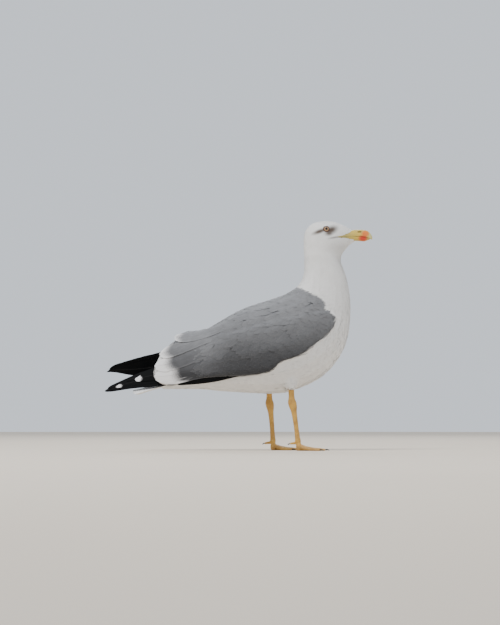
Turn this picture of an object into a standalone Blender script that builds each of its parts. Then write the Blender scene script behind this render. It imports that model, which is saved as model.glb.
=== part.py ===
"""Adult yellow-legged gull (Larus michahellis), life size, standing alert with its wings folded.

Run with: blender --background --python part.py

Frame: metres, +X the way the bird faces, +Y its left, +Z up. Soles at Z = 0, the bounding
box centred on the origin in X and Y. The shapes below are written in millimetres on a side
view whose X = 0 lies at mid length, and MM turns them into metres.

A ring is one cross-section of the body, square to the bird's middle plane. It is given by its
dorsal point, its ventral point and its half width, so the rings draw the side outline directly.
"""

import math

import bmesh
import bpy
import numpy as np
from mathutils import Matrix, Vector

MM = 0.001
GAP = 0.3               # between neighbouring pieces
RECESS_GAP = 0.45       # the growth of a piece's copy that cuts its recess
SIDES = {"right": -1, "left": 1}

# ---- body: (dorsal x, z), (ventral x, z), half width, share of it added above and taken below --
RUMP_END = ((-140, 130), (-140, 110), 15, 0)
TRUNK_RINGS = [
    RUMP_END,
    ((-114, 145), (-114, 110), 23, 0),
    ((-86, 182), (-90, 110), 36, 0),
    ((-64, 213), (-70, 110), 48, 0),
    ((-44, 226), (-52, 108), 54, 0),
    ((-19, 241), (-32, 106), 59, 0),
    ((8, 255), (0, 104), 62.5, 0),
    ((38, 265), (38, 102), 65, 0),
    ((66, 274), (74, 102), 66.5, 0),
    ((88, 283), (108, 112), 66.5, 0),
    ((102, 293), (142, 128), 63, 0),
    ((110, 303), (168, 152), 56, 0),
    ((114, 313), (187, 182), 49, 0),
    ((116, 325), (196, 214), 42, 0),
]
NECK_RINGS = [
    ((116, 337), (199, 246), 35.5, 0),
    ((116, 349), (198, 277), 31.5, 0),
    ((115, 361), (193, 306), 28.5, 0),
    ((115, 372), (186, 327), 26.5, 0),
    ((115, 381), (181, 341), 25.8, 0),
]
HEAD_RINGS = [
    ((116, 389), (184, 353), 25, 0),
    ((119, 397), (190, 361), 24.2, 0.06),
    ((126, 405), (196, 368), 22.2, 0.18),
    ((137, 410.5), (200.5, 372), 19.2, 0.28),
    ((152, 413), (204, 374), 15.8, 0.28),
    ((168, 412), (206.5, 375), 12.6, 0.2),
    ((182, 407.5), (207.5, 375.6), 10.4, 0.1),
    ((192, 402.5), (208, 376), 8.8, 0),
    ((198, 399), (208.5, 376.4), 7.8, 0),
]
BODY_RINGS = TRUNK_RINGS + NECK_RINGS + HEAD_RINGS
BREAST_FROM = 7.5                       # ring numbers at which the body is parted
NECK_FROM = len(TRUNK_RINGS) - 0.5
HEAD_FROM = len(TRUNK_RINGS) + len(NECK_RINGS) - 0.5
HALF_CUT = 0.016                        # of a ring number, on each side of a cut

# ---- mantle and scapulars: side outline of the grey back above the wings ---------------------
MANTLE_OUTLINE = [
    (154, 257), (149, 246), (134, 240), (108, 235), (75, 230), (45, 221), (14, 212), (-20, 203),
    (-54, 206), (-62, 207), (-70, 260), (98, 320), (109, 290), (125, 282), (147, 270),
]

# ---- folded wings: outer surface of the wings over back and flanks ---------------------------
WING_RINGS = [
    ((117, 336), (202, 248), 37, 0),
    ((116, 324), (198, 212), 44, 0),
    ((114, 313), (189, 178), 51, 0),
    ((106, 299), (152, 126), 62.5, 0),
    ((90, 286), (112, 96), 69, 0),
    ((66, 276), (76, 84), 70.5, 0),
    ((38, 266), (38, 82), 70, 0),
    ((8, 256), (0, 82), 67.5, 0),
    ((-19, 242), (-32, 84), 64, 0),
    ((-44, 226), (-54, 86), 59.5, 0),
    ((-72, 215), (-84, 86), 52.5, 0),
    ((-104, 212), (-118, 84), 44.5, 0),
    ((-122, 194), (-138, 84), 38, 0),
    ((-141, 175), (-156, 82), 32, 0),
    ((-160, 160), (-174, 82), 26, 0),
]
WING_THICK = 6.0
# Side outline of one wing: round the bend, back along the lower edge, up over the tips of
# secondaries and tertials, and forward along the edge of the scapulars.
WING_OUTLINE = [
    (171, 236), (166, 217), (153, 203), (135, 190), (117, 174), (104, 167), (90, 162),
    (76, 158), (63, 148), (52, 139), (30, 134), (0, 132), (-45, 130), (-72, 127), (-90, 123),
    (-110, 117), (-130, 114.5), (-143, 118), (-151, 127), (-154, 139), (-151, 152), (-145, 164),
    (-142, 172), (-130, 181), (-117, 190), (-116, 198), (-111, 218), (-88, 226), (-66, 224),
    (-54, 208), (-20, 205), (14, 214), (45, 223), (75, 232), (108, 237), (134, 242), (158, 244),
]

# ---- bundles of primaries past the tertials: (x, z, y) along the upper and the lower edge ----
PRIMARY_UPPER = {
    "right": [(-122, 154, -13), (-156, 145, -11), (-191, 132, -8), (-225, 119, -5), (-242, 111, -5)],
    "left": [(-122, 176, 7), (-156, 168, 7), (-191, 160, 6), (-224, 149, 3), (-240, 141, 2)],
}
PRIMARY_LOWER = {
    "right": [(-122, 119, -30), (-156, 114.5, -25), (-191, 110, -19), (-225, 104, -12), (-243, 102, -9)],
    "left": [(-122, 140, 26), (-156, 136, 24), (-191, 134, 17), (-224, 138, 8), (-240, 139, 4)],
}
PRIMARY_THICK = (5.0, 1.6)              # at the base and at the tip

# ---- tail: x, z of its upper face, half width, thickness -------------------------------------
TAIL_RINGS = [
    (-140.5, 119, 23, 7),
    (-156, 115.5, 27, 5),
    (-174, 111.5, 31, 3.2),
    (-191, 107.5, 33, 2),
]
TAIL_CROWN = 5.0                        # how far its side edges drop below the middle

# ---- bill: x, upper z, lower z, half width ---------------------------------------------------
BILL_UPPER = [
    (178, 385.4, 383.0, 17.8),
    (188, 389.8, 383.6, 13.7),
    (198, 395.4, 384.3, 10.1),
    (205, 396.6, 384.7, 8.0),
    (213, 397.0, 384.9, 7.1),
    (220, 397.0, 384.5, 6.4),
    (227, 396.0, 383.2, 5.5),
    (232, 393.6, 381.8, 4.5),
    (236, 389.4, 380.6, 3.1),
    (238.6, 384.4, 379.4, 1.3),
]
BILL_LOWER = [
    (179, 382.6, 380.6, 17.6),
    (188, 383.2, 378.8, 13.6),
    (198, 383.9, 378.0, 10.0),
    (207, 384.3, 377.4, 7.4),
    (215, 384.3, 376.9, 6.4),
    (221, 383.9, 376.4, 5.7),
    (225, 383.1, 376.4, 5.0),
    (230, 381.7, 378.2, 3.8),
    (234, 380.6, 379.3, 1.6),
]

# ---- eyes ------------------------------------------------------------------------------------
EYE_AT = (155, 15.3, 396.5)             # the left eye's centre
EYE_RADIUS = 7.5

# ---- legs: right one forward; (x, z, front-to-back radius, sideways radius) from top down ----
FOOT_AT = {"right": (104, -32), "left": (59.5, 28)}   # under the ankle of the toes: x, y
LEG_LEAN = {"right": 0.0, "left": 0.06}  # how far a leg stands forward of its stations, of its height
HIP_Y = 33
HIP_Z = 130
THIGH = [(-15, 134, 17, 14), (-15, 120, 13, 11), (-13, 108, 7.4, 6.8)]
TIBIA = [(-13, 107.4, 5.2, 4.6), (-12.5, 98, 4.9, 4.2), (-12, 90.5, 5.8, 4.4)]
TARSUS = [
    (-12, 90, 6.2, 4.6), (-11, 84, 7.5, 5.6), (-9.5, 76, 6.6, 4.8), (-8, 68, 4.9, 3.6),
    (-5, 48, 4.1, 2.9), (-2.5, 28, 4.1, 2.9), (-1, 15.5, 5.0, 4.2),
]
TARSUS_FOOT_GAP_Z = 15.2
KNUCKLE_RADIUS = 6.6
TOES = {                                # degrees outward from straight ahead, length, radius
    "inner": (-25, 37, 3.0),
    "middle": (2, 47, 3.2),
    "outer": (29, 42, 2.9),
}
TOE_TIP_RADIUS = 1.9
WEB_THICK = 1.5
WEB_BITE = 0.20                         # how far the web's front edge curves in, of its reach
CLAW_LENGTH = 7.5
HALLUX = ((-8, 15.5), (-15, 12.5), 2.1, 1.5)    # x, z of its root and end, and their radii

RING_POINTS = 20
UPPER_FULLNESS = 2.3                    # of a ring's upper half: 2 is an ellipse, more is squarer
LOWER_FULLNESS = 2.05
SEGMENTS_PER_RING = 1.5

PLUMAGE_WHITE = (0.83, 0.83, 0.82)
MANTLE_GREY = (0.27, 0.28, 0.30)
WINGTIP_BLACK = (0.012, 0.012, 0.014)
LEG_YELLOW = (0.62, 0.38, 0.10)
BILL_YELLOW = (0.78, 0.56, 0.12)
CLAW_BLACK = (0.03, 0.026, 0.022)
EYE_AMBER = (0.50, 0.38, 0.18)


# ---- helpers ---------------------------------------------------------------------------------
def clear_scene():
    for obj in list(bpy.data.objects):
        bpy.data.objects.remove(obj, do_unlink=True)


def make_material(name, color, roughness, metallic=0.0):
    mat = bpy.data.materials.new(name)
    mat.use_nodes = True
    shader = mat.node_tree.nodes["Principled BSDF"]
    shader.inputs["Base Color"].default_value = (*color, 1.0)
    shader.inputs["Roughness"].default_value = roughness
    shader.inputs["Metallic"].default_value = metallic
    return mat


def spline(keys, t):
    """A smooth curve through rows of numbers, read at row number t (Catmull-Rom)."""
    keys = np.asarray(keys, float)
    last = len(keys) - 1
    i = min(int(t), last - 1)
    p0, p1, p2, p3 = (keys[min(max(k, 0), last)] for k in (i - 1, i, i + 1, i + 2))
    if i == 0:
        p0 = 2 * p1 - p2
    if i == last - 1:
        p3 = 2 * p2 - p1
    f = t - i
    return 0.5 * (2 * p1 + (p2 - p0) * f + (2 * p0 - 5 * p1 + 4 * p2 - p3) * f ** 2
                  + (3 * p1 - p0 - 3 * p2 + p3) * f ** 3)


def flat_rings(rings):
    """Rings as rows of six numbers: dorsal x, z, ventral x, z, half width, extra width above."""
    return [(*d, *v, w, extra) for d, v, w, extra in rings]


def ring_points(row, inset=0.0, count=RING_POINTS):
    """The points of one ring, from the back round by the left side, inset by a length."""
    dorsal, ventral, half_width = np.array(row[0:2]), np.array(row[2:4]), row[4] - inset
    chord = dorsal - ventral
    up = chord / np.linalg.norm(chord)
    half_height = np.linalg.norm(chord) / 2 - inset
    centre = (dorsal + ventral) / 2
    points = []
    for k in range(count):
        angle = 2 * math.pi * k / count
        c, s = math.cos(angle), math.sin(angle)
        fullness = UPPER_FULLNESS if c > 0 else LOWER_FULLNESS
        rise = math.copysign(abs(c) ** (2 / fullness), c) * half_height
        side = math.copysign(abs(s) ** (2 / fullness), s) * half_width * (1 + row[5] * c)
        x, z = centre + up * rise
        points.append((x, side, z))
    return points


def new_object(name, bm, mat=None, smooth=True):
    bmesh.ops.recalc_face_normals(bm, faces=bm.faces[:])
    mesh = bpy.data.meshes.new(name)
    bm.to_mesh(mesh)
    bm.free()
    obj = bpy.data.objects.new(name, mesh)
    bpy.context.scene.collection.objects.link(obj)
    if mat:
        mesh.materials.append(mat)
    if smooth:
        mesh.shade_smooth()
        mesh.set_sharp_from_angle(angle=math.radians(50))
    return obj


def loft(name, rings, mat=None, smooth=True):
    """A closed solid through rings of (x, y, z) points in millimetres, with flat end caps."""
    bm = bmesh.new()
    rows = [[bm.verts.new(Vector(p) * MM) for p in ring] for ring in rings]
    count = len(rows[0])
    for a, b in zip(rows, rows[1:]):
        for k in range(count):
            after = (k + 1) % count
            bm.faces.new((a[k], a[after], b[after]))
            bm.faces.new((a[k], b[after], b[k]))
    bm.faces.new(rows[0])
    bm.faces.new(rows[-1])
    return new_object(name, bm, mat, smooth)


def body_loft(name, keys, start, end, mat=None, inset=0.0):
    """A loft through the rings from number start to number end."""
    steps = max(2, round((end - start) * SEGMENTS_PER_RING))
    rings = [ring_points(spline(keys, start + (end - start) * k / steps), inset)
             for k in range(steps + 1)]
    return loft(name, rings, mat)


def prism(name, outline, y_from, y_to):
    """A closed side outline of (x, z) points, drawn out sideways."""
    return loft(name, [[(x, y, z) for x, z in outline] for y in (y_from, y_to)], smooth=False)


def smooth_outline(points, per_span=2):
    """A closed outline through the points, with a few points read from the curve in each span."""
    wrapped = [points[-1], *points, points[0], points[1]]
    return [tuple(spline(wrapped, 1 + k / per_span)) for k in range(len(points) * per_span)]


def boolean(obj, other, operation):
    """Applies a Boolean to obj and removes the other shape."""
    modifier = obj.modifiers.new("cut", "BOOLEAN")
    modifier.operation = operation
    modifier.object = other
    apply_modifiers(obj)
    bpy.data.objects.remove(other, do_unlink=True)
    return obj


def apply_modifiers(obj):
    bpy.context.view_layer.update()
    graph = bpy.context.evaluated_depsgraph_get()
    mesh = bpy.data.meshes.new_from_object(obj.evaluated_get(graph))
    obj.modifiers.clear()
    obj.data = mesh


def grown(obj, by=GAP):
    """A copy of obj whose surface lies further out."""
    bm = bmesh.new()
    bm.from_mesh(obj.data)
    bm.normal_update()
    shell = {v: v.calc_shell_factor() for v in bm.verts}
    moves = [(v, v.normal * by * MM * min(shell[v], 3.0)) for v in bm.verts]
    for vert, move in moves:
        vert.co += move
    return new_object(obj.name + "_grown", bm, smooth=False)


def cut_between(obj, low, high):
    """Cuts away what lies between two heights in millimetres."""
    outline = [(-400, low), (400, low), (400, high), (-400, high)]
    return boolean(obj, prism("slab", outline, -200, 200), "DIFFERENCE")


def limb(name, stations, mat=None, count=10):
    """An upright tube through (x, y, z, front-to-back radius, sideways radius) stations."""
    steps = 2 * (len(stations) - 1)
    rings = []
    for k in range(steps + 1):
        x, y, z, rx, ry = spline(stations, (len(stations) - 1) * k / steps)
        rings.append([(x + rx * math.cos(a), y + ry * math.sin(a), z)
                      for a in (2 * math.pi * j / count for j in range(count))])
    return loft(name, rings, mat)


def rod(name, points, radii, mat=None, count=8):
    """A tapering round rod through points, its rings square to its own line."""
    line = [Vector(p) for p in points]
    rings = []
    for k, point in enumerate(line):
        ahead = (line[min(k + 1, len(line) - 1)] - line[max(k - 1, 0)]).normalized()
        across = ahead.cross(Vector((0, 0, 1))).normalized()
        over = across.cross(ahead)
        rings.append([point + (across * math.cos(a) + over * math.sin(a)) * radii[k]
                      for a in (2 * math.pi * j / count for j in range(count))])
    return loft(name, rings, mat)


# ---- pieces ----------------------------------------------------------------------------------
def mandible(name, stations, crown_up, mat=None, margin=0.0):
    """One half of the closed bill, flat on the cutting edge and arched on the other side."""
    outwards = 1 if crown_up else -1
    rings = []
    for k, (x, top, bottom, half) in enumerate(stations):
        flat, crown = (bottom, top) if crown_up else (top, bottom)
        flat -= outwards * margin
        rise = crown + outwards * margin - flat
        back = margin if k == 0 else 0
        angles = (math.pi * j / 8 for j in range(9))
        rings.append([(x - back, (half + margin) * math.cos(a), flat + rise * math.sin(a) ** 0.6)
                      for a in angles])
    return loft(name, rings, mat)


def make_mantle(body, mat):
    """The grey back: the top of the body, cut to the side outline of mantle and scapulars."""
    mantle = body_loft("mantle", body, 0, NECK_FROM, mat)
    return boolean(mantle, prism("outline", MANTLE_OUTLINE, -100, 100), "INTERSECT")


def make_bill(head, mat):
    """Both mandibles, which flare back to the gape on the cheeks, and their bed in the head."""
    mandible("bill_upper", BILL_UPPER, True, mat)
    mandible("bill_lower", BILL_LOWER, False, mat)
    bed = mandible("bed", BILL_UPPER, True, margin=GAP)
    boolean(bed, mandible("lower_bed", BILL_LOWER, False, margin=GAP), "UNION")
    boolean(head, bed, "DIFFERENCE")


def make_eye(side, mat):
    x, y, z = EYE_AT
    bm = bmesh.new()
    bmesh.ops.create_uvsphere(bm, u_segments=12, v_segments=8, radius=EYE_RADIUS * MM)
    bmesh.ops.translate(bm, verts=bm.verts[:], vec=Vector((x, SIDES[side] * y, z)) * MM)
    return new_object(f"eye_{side}", bm, mat)


def widened(outline, by):
    """A closed outline moved outwards, square to itself. The outline runs clockwise."""
    points = np.array(outline, float)
    along = np.roll(points, -1, axis=0) - np.roll(points, 1, axis=0)
    outward = np.stack([-along[:, 1], along[:, 0]], axis=1)
    outward /= np.linalg.norm(outward, axis=1)[:, None]
    return [tuple(p) for p in points + outward * by]


def wing_region(name, side, keys, outline, inset, middle):
    """All that lies inside a wing's side outline and outside an inset of the wing surface."""
    region = prism(name, outline, middle, SIDES[side] * 120)
    return boolean(region, body_loft("core", keys, 0, len(keys) - 1, inset=inset), "DIFFERENCE")


def make_wing(side, keys, mat):
    """One folded wing: a shell that follows the wing surface, cut to its side outline."""
    outline = smooth_outline(WING_OUTLINE)
    middle = SIDES[side] * GAP / 2
    wing = wing_region(f"wing_{side}", side, keys, outline, WING_THICK, middle)
    boolean(wing, body_loft("envelope", keys, 0, len(keys) - 1), "INTERSECT")
    wing.data.materials.clear()
    wing.data.materials.append(mat)
    return wing


def recess_wing(trunk, side, keys):
    """Cuts the bed of a wing into the trunk."""
    outline = widened(smooth_outline(WING_OUTLINE), GAP * 1.5)
    past_middle = -SIDES[side] * GAP
    bed = wing_region("bed", side, keys, outline, WING_THICK + GAP, past_middle)
    boolean(trunk, bed, "DIFFERENCE")


def make_primaries(side, mat):
    """The wing tip: a thin blade between its upper and lower edges, thinner towards the tip."""
    upper, lower = PRIMARY_UPPER[side], PRIMARY_LOWER[side]
    last = len(upper) - 1
    steps = 2 * last
    rings = []
    for k in range(steps + 1):
        t = last * k / steps
        top = np.array(spline(upper, t))[[0, 2, 1]]
        low = np.array(spline(lower, t))[[0, 2, 1]]
        across = np.array([0, low[2] - top[2], top[1] - low[1]])
        across /= np.linalg.norm(across)
        thick = PRIMARY_THICK[0] + (PRIMARY_THICK[1] - PRIMARY_THICK[0]) * k / steps
        ring = []
        for turn in range(12):
            a = 2 * math.pi * turn / 12
            along = 0.5 - 0.5 * math.cos(a)
            bulge = math.copysign(abs(math.sin(a)) ** 0.5, math.sin(a)) * thick / 2
            ring.append(tuple(top + (low - top) * along + across * bulge))
        rings.append(ring)
    return loft(f"primaries_{side}", rings, mat)


def make_tail(mat):
    """The closed tail: a thin crowned fan."""
    steps = 2 * (len(TAIL_RINGS) - 1)
    columns = 6
    rings = []
    for k in range(steps + 1):
        x, top, half, thick = spline(TAIL_RINGS, (len(TAIL_RINGS) - 1) * k / steps)
        across = [-1 + 2 * c / columns for c in range(columns + 1)]
        upper = [(x, half * s, top - TAIL_CROWN * s * s) for s in across]
        lower = [(x, y, z - thick * (1 - 0.55 * (y / half) ** 2)) for x, y, z in reversed(upper)]
        rings.append(upper + lower)
    return loft("tail", rings, mat)


def leg_stations(side, table):
    """A leg's stations placed for one side, on the line from its foot to its hip."""
    foot_x, foot_y = FOOT_AT[side]
    hip_y = SIDES[side] * HIP_Y
    placed = []
    for x, z, rx, ry in table:
        y = foot_y + (hip_y - foot_y) * z / HIP_Z
        placed.append((foot_x + x + LEG_LEAN[side] * z, y, z, rx, ry))
    return placed


def toe_line(side, toe):
    """A toe's root on the floor, the way it points, its length and its radius."""
    degrees, length, radius = TOES[toe]
    heading = math.radians(degrees) * SIDES[side]
    ahead = Vector((math.cos(heading), math.sin(heading), 0))
    foot_x, foot_y = FOOT_AT[side]
    root = Vector((foot_x, foot_y, 0))
    return root, ahead, length, radius


def make_foot(side, mat):
    """Three front toes and the webs between them as one piece, with a flat sole."""
    foot_x, foot_y = FOOT_AT[side]
    knuckle = bmesh.new()
    bmesh.ops.create_uvsphere(knuckle, u_segments=12, v_segments=8, radius=KNUCKLE_RADIUS * MM)
    for vert in knuckle.verts:
        vert.co.z *= 1.25
        vert.co += Vector((foot_x, foot_y, KNUCKLE_RADIUS * 0.95)) * MM
    foot = new_object(f"foot_{side}", knuckle, mat)
    for number, toe in enumerate(TOES):
        root, ahead, length, radius = toe_line(side, toe)
        start = 0.03 + 0.02 * number
        heights = [(start, 8.2 - 0.5 * number, radius * 1.25), (0.27, 4.6, radius * 1.1),
                   (0.55, 2.4, radius), (0.8, 1.8, radius * 0.85), (1.0, 1.4, TOE_TIP_RADIUS)]
        points = [root + ahead * length * s + Vector((0, 0, z)) for s, z, _ in heights]
        toe_rod = rod("toe", points, [r for _, _, r in heights])
        boolean(foot, toe_rod, "UNION")
    for one, other in (("inner", "middle"), ("middle", "outer")):
        boolean(foot, make_web(side, one, other), "UNION")
    foot.data.materials.clear()
    foot.data.materials.append(mat)
    cut_between(foot, -30, 0)
    return cut_between(foot, TARSUS_FOOT_GAP_Z, 60)


def make_web(side, one, other):
    """The skin between two toes: a thin plate whose front edge curves in."""
    root, ahead_a, length_a, _ = toe_line(side, one)
    _, ahead_b, length_b, _ = toe_line(side, other)
    a, b = root + ahead_a * length_a * 0.94, root + ahead_b * length_b * 0.94
    root = root + (ahead_a + ahead_b) * 1.5
    steps = 8
    edge = []
    for k in range(steps + 1):
        s = k / steps
        point = a.lerp(b, s)
        point += (root - point) * WEB_BITE * 4 * s * (1 - s)
        edge.append(point)
    outline = [root, *edge]
    plates = [[(p.x, p.y, z) for p in outline] for z in (-1.0, WEB_THICK)]
    return loft("web", plates, smooth=False)


def make_claws(side, mat):
    """A curved claw in front of each toe, and one on the hind toe."""
    for toe in TOES:
        root, ahead, length, _ = toe_line(side, toe)
        start = root + ahead * (length + GAP)
        points = [start + ahead * CLAW_LENGTH * s + Vector((0, 0, z))
                  for s, z in ((0, 1.9), (0.35, 2.2), (0.7, 1.7), (1.0, 0.9))]
        rod(f"claw_{side}_{toe}", points, (1.5, 1.35, 0.95, 0.4), mat, count=8)
    foot_x, foot_y = FOOT_AT[side]
    _, (end_x, end_z), _, radius = HALLUX
    points = [(foot_x + end_x - GAP - dx, foot_y, end_z - dz)
              for dx, dz in ((0, 0), (2.2, 0.6), (4.2, 2.2))]
    rod(f"claw_{side}_hind", points, (radius * 0.85, 1.0, 0.4), mat, count=8)


def make_leg(side, flesh, skin, claw, body):
    """Feathered thigh, bare shank, tarsus with its ankle, hind toe, webbed foot and claws."""
    thigh = limb(f"thigh_{side}", leg_stations(side, THIGH), flesh, count=18)
    boolean(thigh, body_loft("belly", body, 0, NECK_FROM, inset=-GAP), "DIFFERENCE")
    limb(f"tibia_{side}", leg_stations(side, TIBIA), skin)
    limb(f"tarsus_{side}", leg_stations(side, TARSUS), skin)
    foot = make_foot(side, skin)
    foot_x, foot_y = FOOT_AT[side]
    root, end, root_radius, end_radius = HALLUX
    hallux = rod(f"hallux_{side}",
                 [(foot_x + root[0] + 3, foot_y, root[1] - 1.5), (foot_x + root[0], foot_y, root[1] - 2.2),
                  (foot_x + end[0], foot_y, end[1])],
                 (root_radius, root_radius, end_radius), skin)
    boolean(hallux, grown(foot), "DIFFERENCE")
    boolean(hallux, grown(bpy.data.objects[f"tarsus_{side}"]), "DIFFERENCE")
    make_claws(side, claw)


def recess(obj, *others):
    """Cuts room for the other pieces out of obj, with the gap between pieces all round."""
    for other in others:
        boolean(obj, grown(other, RECESS_GAP), "DIFFERENCE")


def centre_on_origin(objects):
    """Moves everything so that the bounding box is centred in X and Y. The soles stay at Z = 0."""
    corners = np.array([v.co for o in objects for v in o.data.vertices])
    middle = (corners.min(0) + corners.max(0)) / 2
    for obj in objects:
        obj.data.transform(Matrix.Translation((-middle[0], -middle[1], 0)))


def main():
    clear_scene()
    white = make_material("plumage_white", PLUMAGE_WHITE, 0.85)
    grey = make_material("mantle_grey", MANTLE_GREY, 0.8)
    black = make_material("wingtip_black", WINGTIP_BLACK, 0.6)
    yellow = make_material("leg_yellow", LEG_YELLOW, 0.55)
    horn = make_material("bill_yellow", BILL_YELLOW, 0.35)
    claw = make_material("claw_black", CLAW_BLACK, 0.4)
    amber = make_material("eye_amber", EYE_AMBER, 0.08)

    body = flat_rings(BODY_RINGS)
    wings = flat_rings(WING_RINGS)
    last = len(body) - 1
    trunk = body_loft("trunk", body, 0, BREAST_FROM - HALF_CUT, white)
    breast = body_loft("breast", body, BREAST_FROM + HALF_CUT, NECK_FROM - HALF_CUT, white)
    body_loft("neck", body, NECK_FROM + HALF_CUT, HEAD_FROM - HALF_CUT, white)
    head = body_loft("head", body, HEAD_FROM + HALF_CUT, last, white)
    mantle = make_mantle(body, grey)
    for piece in (trunk, breast):
        boolean(piece, prism("bed", widened(MANTLE_OUTLINE, GAP), -100, 100), "DIFFERENCE")

    make_bill(head, horn)
    recess(head, *(make_eye(side, amber) for side in SIDES))

    make_tail(white)
    for side in SIDES:
        make_wing(side, wings, grey)
        primaries = make_primaries(side, black)
        for piece in (trunk, breast, mantle, primaries):
            recess_wing(piece, side, wings)
    for side in SIDES:
        make_leg(side, white, yellow, claw, body)
    centre_on_origin(bpy.context.scene.objects)


main()
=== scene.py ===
"""The looks of a yellow-legged gull, a still life-size model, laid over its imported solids.

Shapes are worked out in millimetres on the bird's own side view: x runs forward from the middle of the
body, y to its left and z up from the soles. to_frame() turns them into the frame's metres.
"""
import math

import bmesh
import bpy
import numpy as np
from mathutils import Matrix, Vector
from mathutils.bvhtree import BVHTree
from mathutils.kdtree import KDTree


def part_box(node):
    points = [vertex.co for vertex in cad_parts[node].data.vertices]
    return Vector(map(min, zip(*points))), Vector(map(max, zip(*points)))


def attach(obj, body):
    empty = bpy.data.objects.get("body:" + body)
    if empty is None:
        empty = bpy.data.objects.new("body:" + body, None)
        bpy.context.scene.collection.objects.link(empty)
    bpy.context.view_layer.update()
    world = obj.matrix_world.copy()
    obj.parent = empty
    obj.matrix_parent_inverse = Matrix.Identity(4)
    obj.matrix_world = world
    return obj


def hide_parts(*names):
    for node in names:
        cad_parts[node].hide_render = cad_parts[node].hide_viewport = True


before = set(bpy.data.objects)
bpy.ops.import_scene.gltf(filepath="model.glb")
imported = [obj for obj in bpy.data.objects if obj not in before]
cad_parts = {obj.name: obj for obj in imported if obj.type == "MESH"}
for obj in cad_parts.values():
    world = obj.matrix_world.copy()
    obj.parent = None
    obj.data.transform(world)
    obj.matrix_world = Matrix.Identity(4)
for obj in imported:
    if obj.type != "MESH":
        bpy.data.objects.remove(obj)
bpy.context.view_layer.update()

MM = 0.001
BILL_TIP = 238.6
SHIFT = np.array([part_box("bill_upper")[1].x / MM - BILL_TIP, 0.0, 0.0])
SIDES = {"right": -1.0, "left": 1.0}
RANDOM = np.random.default_rng(7)

# Stations across the body from the tail to the forehead: (back x, back z, belly x, belly z).
STATIONS = (
    (-196, 112, -196, 100), (-150, 130, -150, 104), (-114, 150, -114, 108), (-82, 190, -86, 108),
    (-44, 226, -52, 106), (-14, 243, -24, 104), (20, 260, 14, 102), (52, 271, 54, 100),
    (80, 281, 90, 106), (98, 293, 128, 118), (108, 303, 162, 146), (113, 314, 186, 180),
    (115, 328, 197, 220), (116, 345, 198, 268), (115, 362, 192, 306), (115, 378, 182, 336),
    (117, 392, 186, 356), (123, 403, 193, 366), (137, 410, 200, 371), (154, 413, 204, 373.5),
    (170, 412, 207, 375), (184, 407, 208, 376), (200, 398, 209, 376.4),
)
FINE_STATIONS = 240

# The grey of the mantle and the folded wing, as an outline on the side view. It runs past the back on top.
GREY_OUTLINE = (
    (92, 310), (103, 292), (120, 282), (142, 271), (152, 262), (151, 250), (160, 245), (170, 238),
    (166, 217), (153, 203), (135, 190), (117, 174), (104, 167), (90, 162), (76, 158), (63, 148),
    (52, 139), (30, 133), (0, 130), (-45, 128), (-90, 122), (-130, 113), (-145, 117), (-156, 140),
    (-148, 166), (-122, 190), (-120, 230), (-60, 240), (0, 280), (60, 310),
)
EYE_AT = np.array([155.0, 15.3, 396.5])
EYE_RADIUS = 7.5
FEET = {"right": (104.0, -32.0), "left": (59.5, 28.0)}
LEAN = {"right": 0.0, "left": 0.06}


def srgb(red, green, blue):
    """A colour given in the usual 0 to 255 steps, as the linear values that nodes take."""
    steps = np.array([red, green, blue]) / 255.0
    return np.where(steps > 0.04045, ((steps + 0.055) / 1.055) ** 2.4, steps / 12.92)


WHITE = srgb(233, 232, 230)
DUSKY = srgb(88, 75, 66)
# The greys of back and wings: the low ones are painted shade, for the darker lower parts of the folded
# wing.
GREY_HIGH = srgb(121, 122, 125)
GREY_SHADED = srgb(39, 40, 44)
REAR_HIGH = srgb(118, 119, 122)
REAR_SHADED = srgb(80, 81, 85)
BLACK = srgb(8, 9, 11)
TIP_WHITE = srgb(232, 231, 232)
FRINGE = srgb(186, 187, 190)
SHAFT = srgb(70, 68, 68)


# ---------------------------------------------------------------- small mathematics

def to_frame(points):
    """Side-view millimetres to the frame's metres."""
    return (np.asarray(points, float) + SHIFT) * MM


def unit(vectors):
    """Vectors of length 1 with the same directions."""
    return vectors / np.maximum(np.linalg.norm(vectors, axis=-1, keepdims=True), 1e-9)


def smooth_step(value, low, high):
    """0 up to low and 1 from high on, with a soft rise between. With high below low it falls instead."""
    share = np.clip((value - low) / (high - low), 0.0, 1.0)
    return share * share * (3.0 - 2.0 * share)


def blend(first, second, share):
    """Colours or directions between the first and the second, one for each share from 0 to 1."""
    return first * (1 - share[:, None]) + second * share[:, None]


def round_turns(count):
    """Angles once round a circle, evenly spaced."""
    return np.linspace(0, 2 * math.pi, count, endpoint=False)


def spline(keys, count):
    """Points of a Catmull-Rom curve through the keys."""
    keys = np.asarray(keys, float)
    ends = np.vstack([2 * keys[0] - keys[1], keys, 2 * keys[-1] - keys[-2]])
    place = np.linspace(0, len(keys) - 1, count)
    step = np.minimum(place.astype(int), len(keys) - 2)
    t = (place - step)[:, None]
    a, b, c, d = (ends[step + k] for k in range(4))
    bend = (2 * a - 5 * b + 4 * c - d) * t**2
    turn = (3 * b - a - 3 * c + d) * t**3
    return 0.5 * (2 * b + (c - a) * t + bend + turn)


BODY = spline(STATIONS, FINE_STATIONS)
# The usual distance between fine stations, how far a place may lie past a station's ends, and how much
# more than that counts.
STATION_GAP = 3.0
PAST_END = 12.0
PAST_WEIGHT = 3


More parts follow.
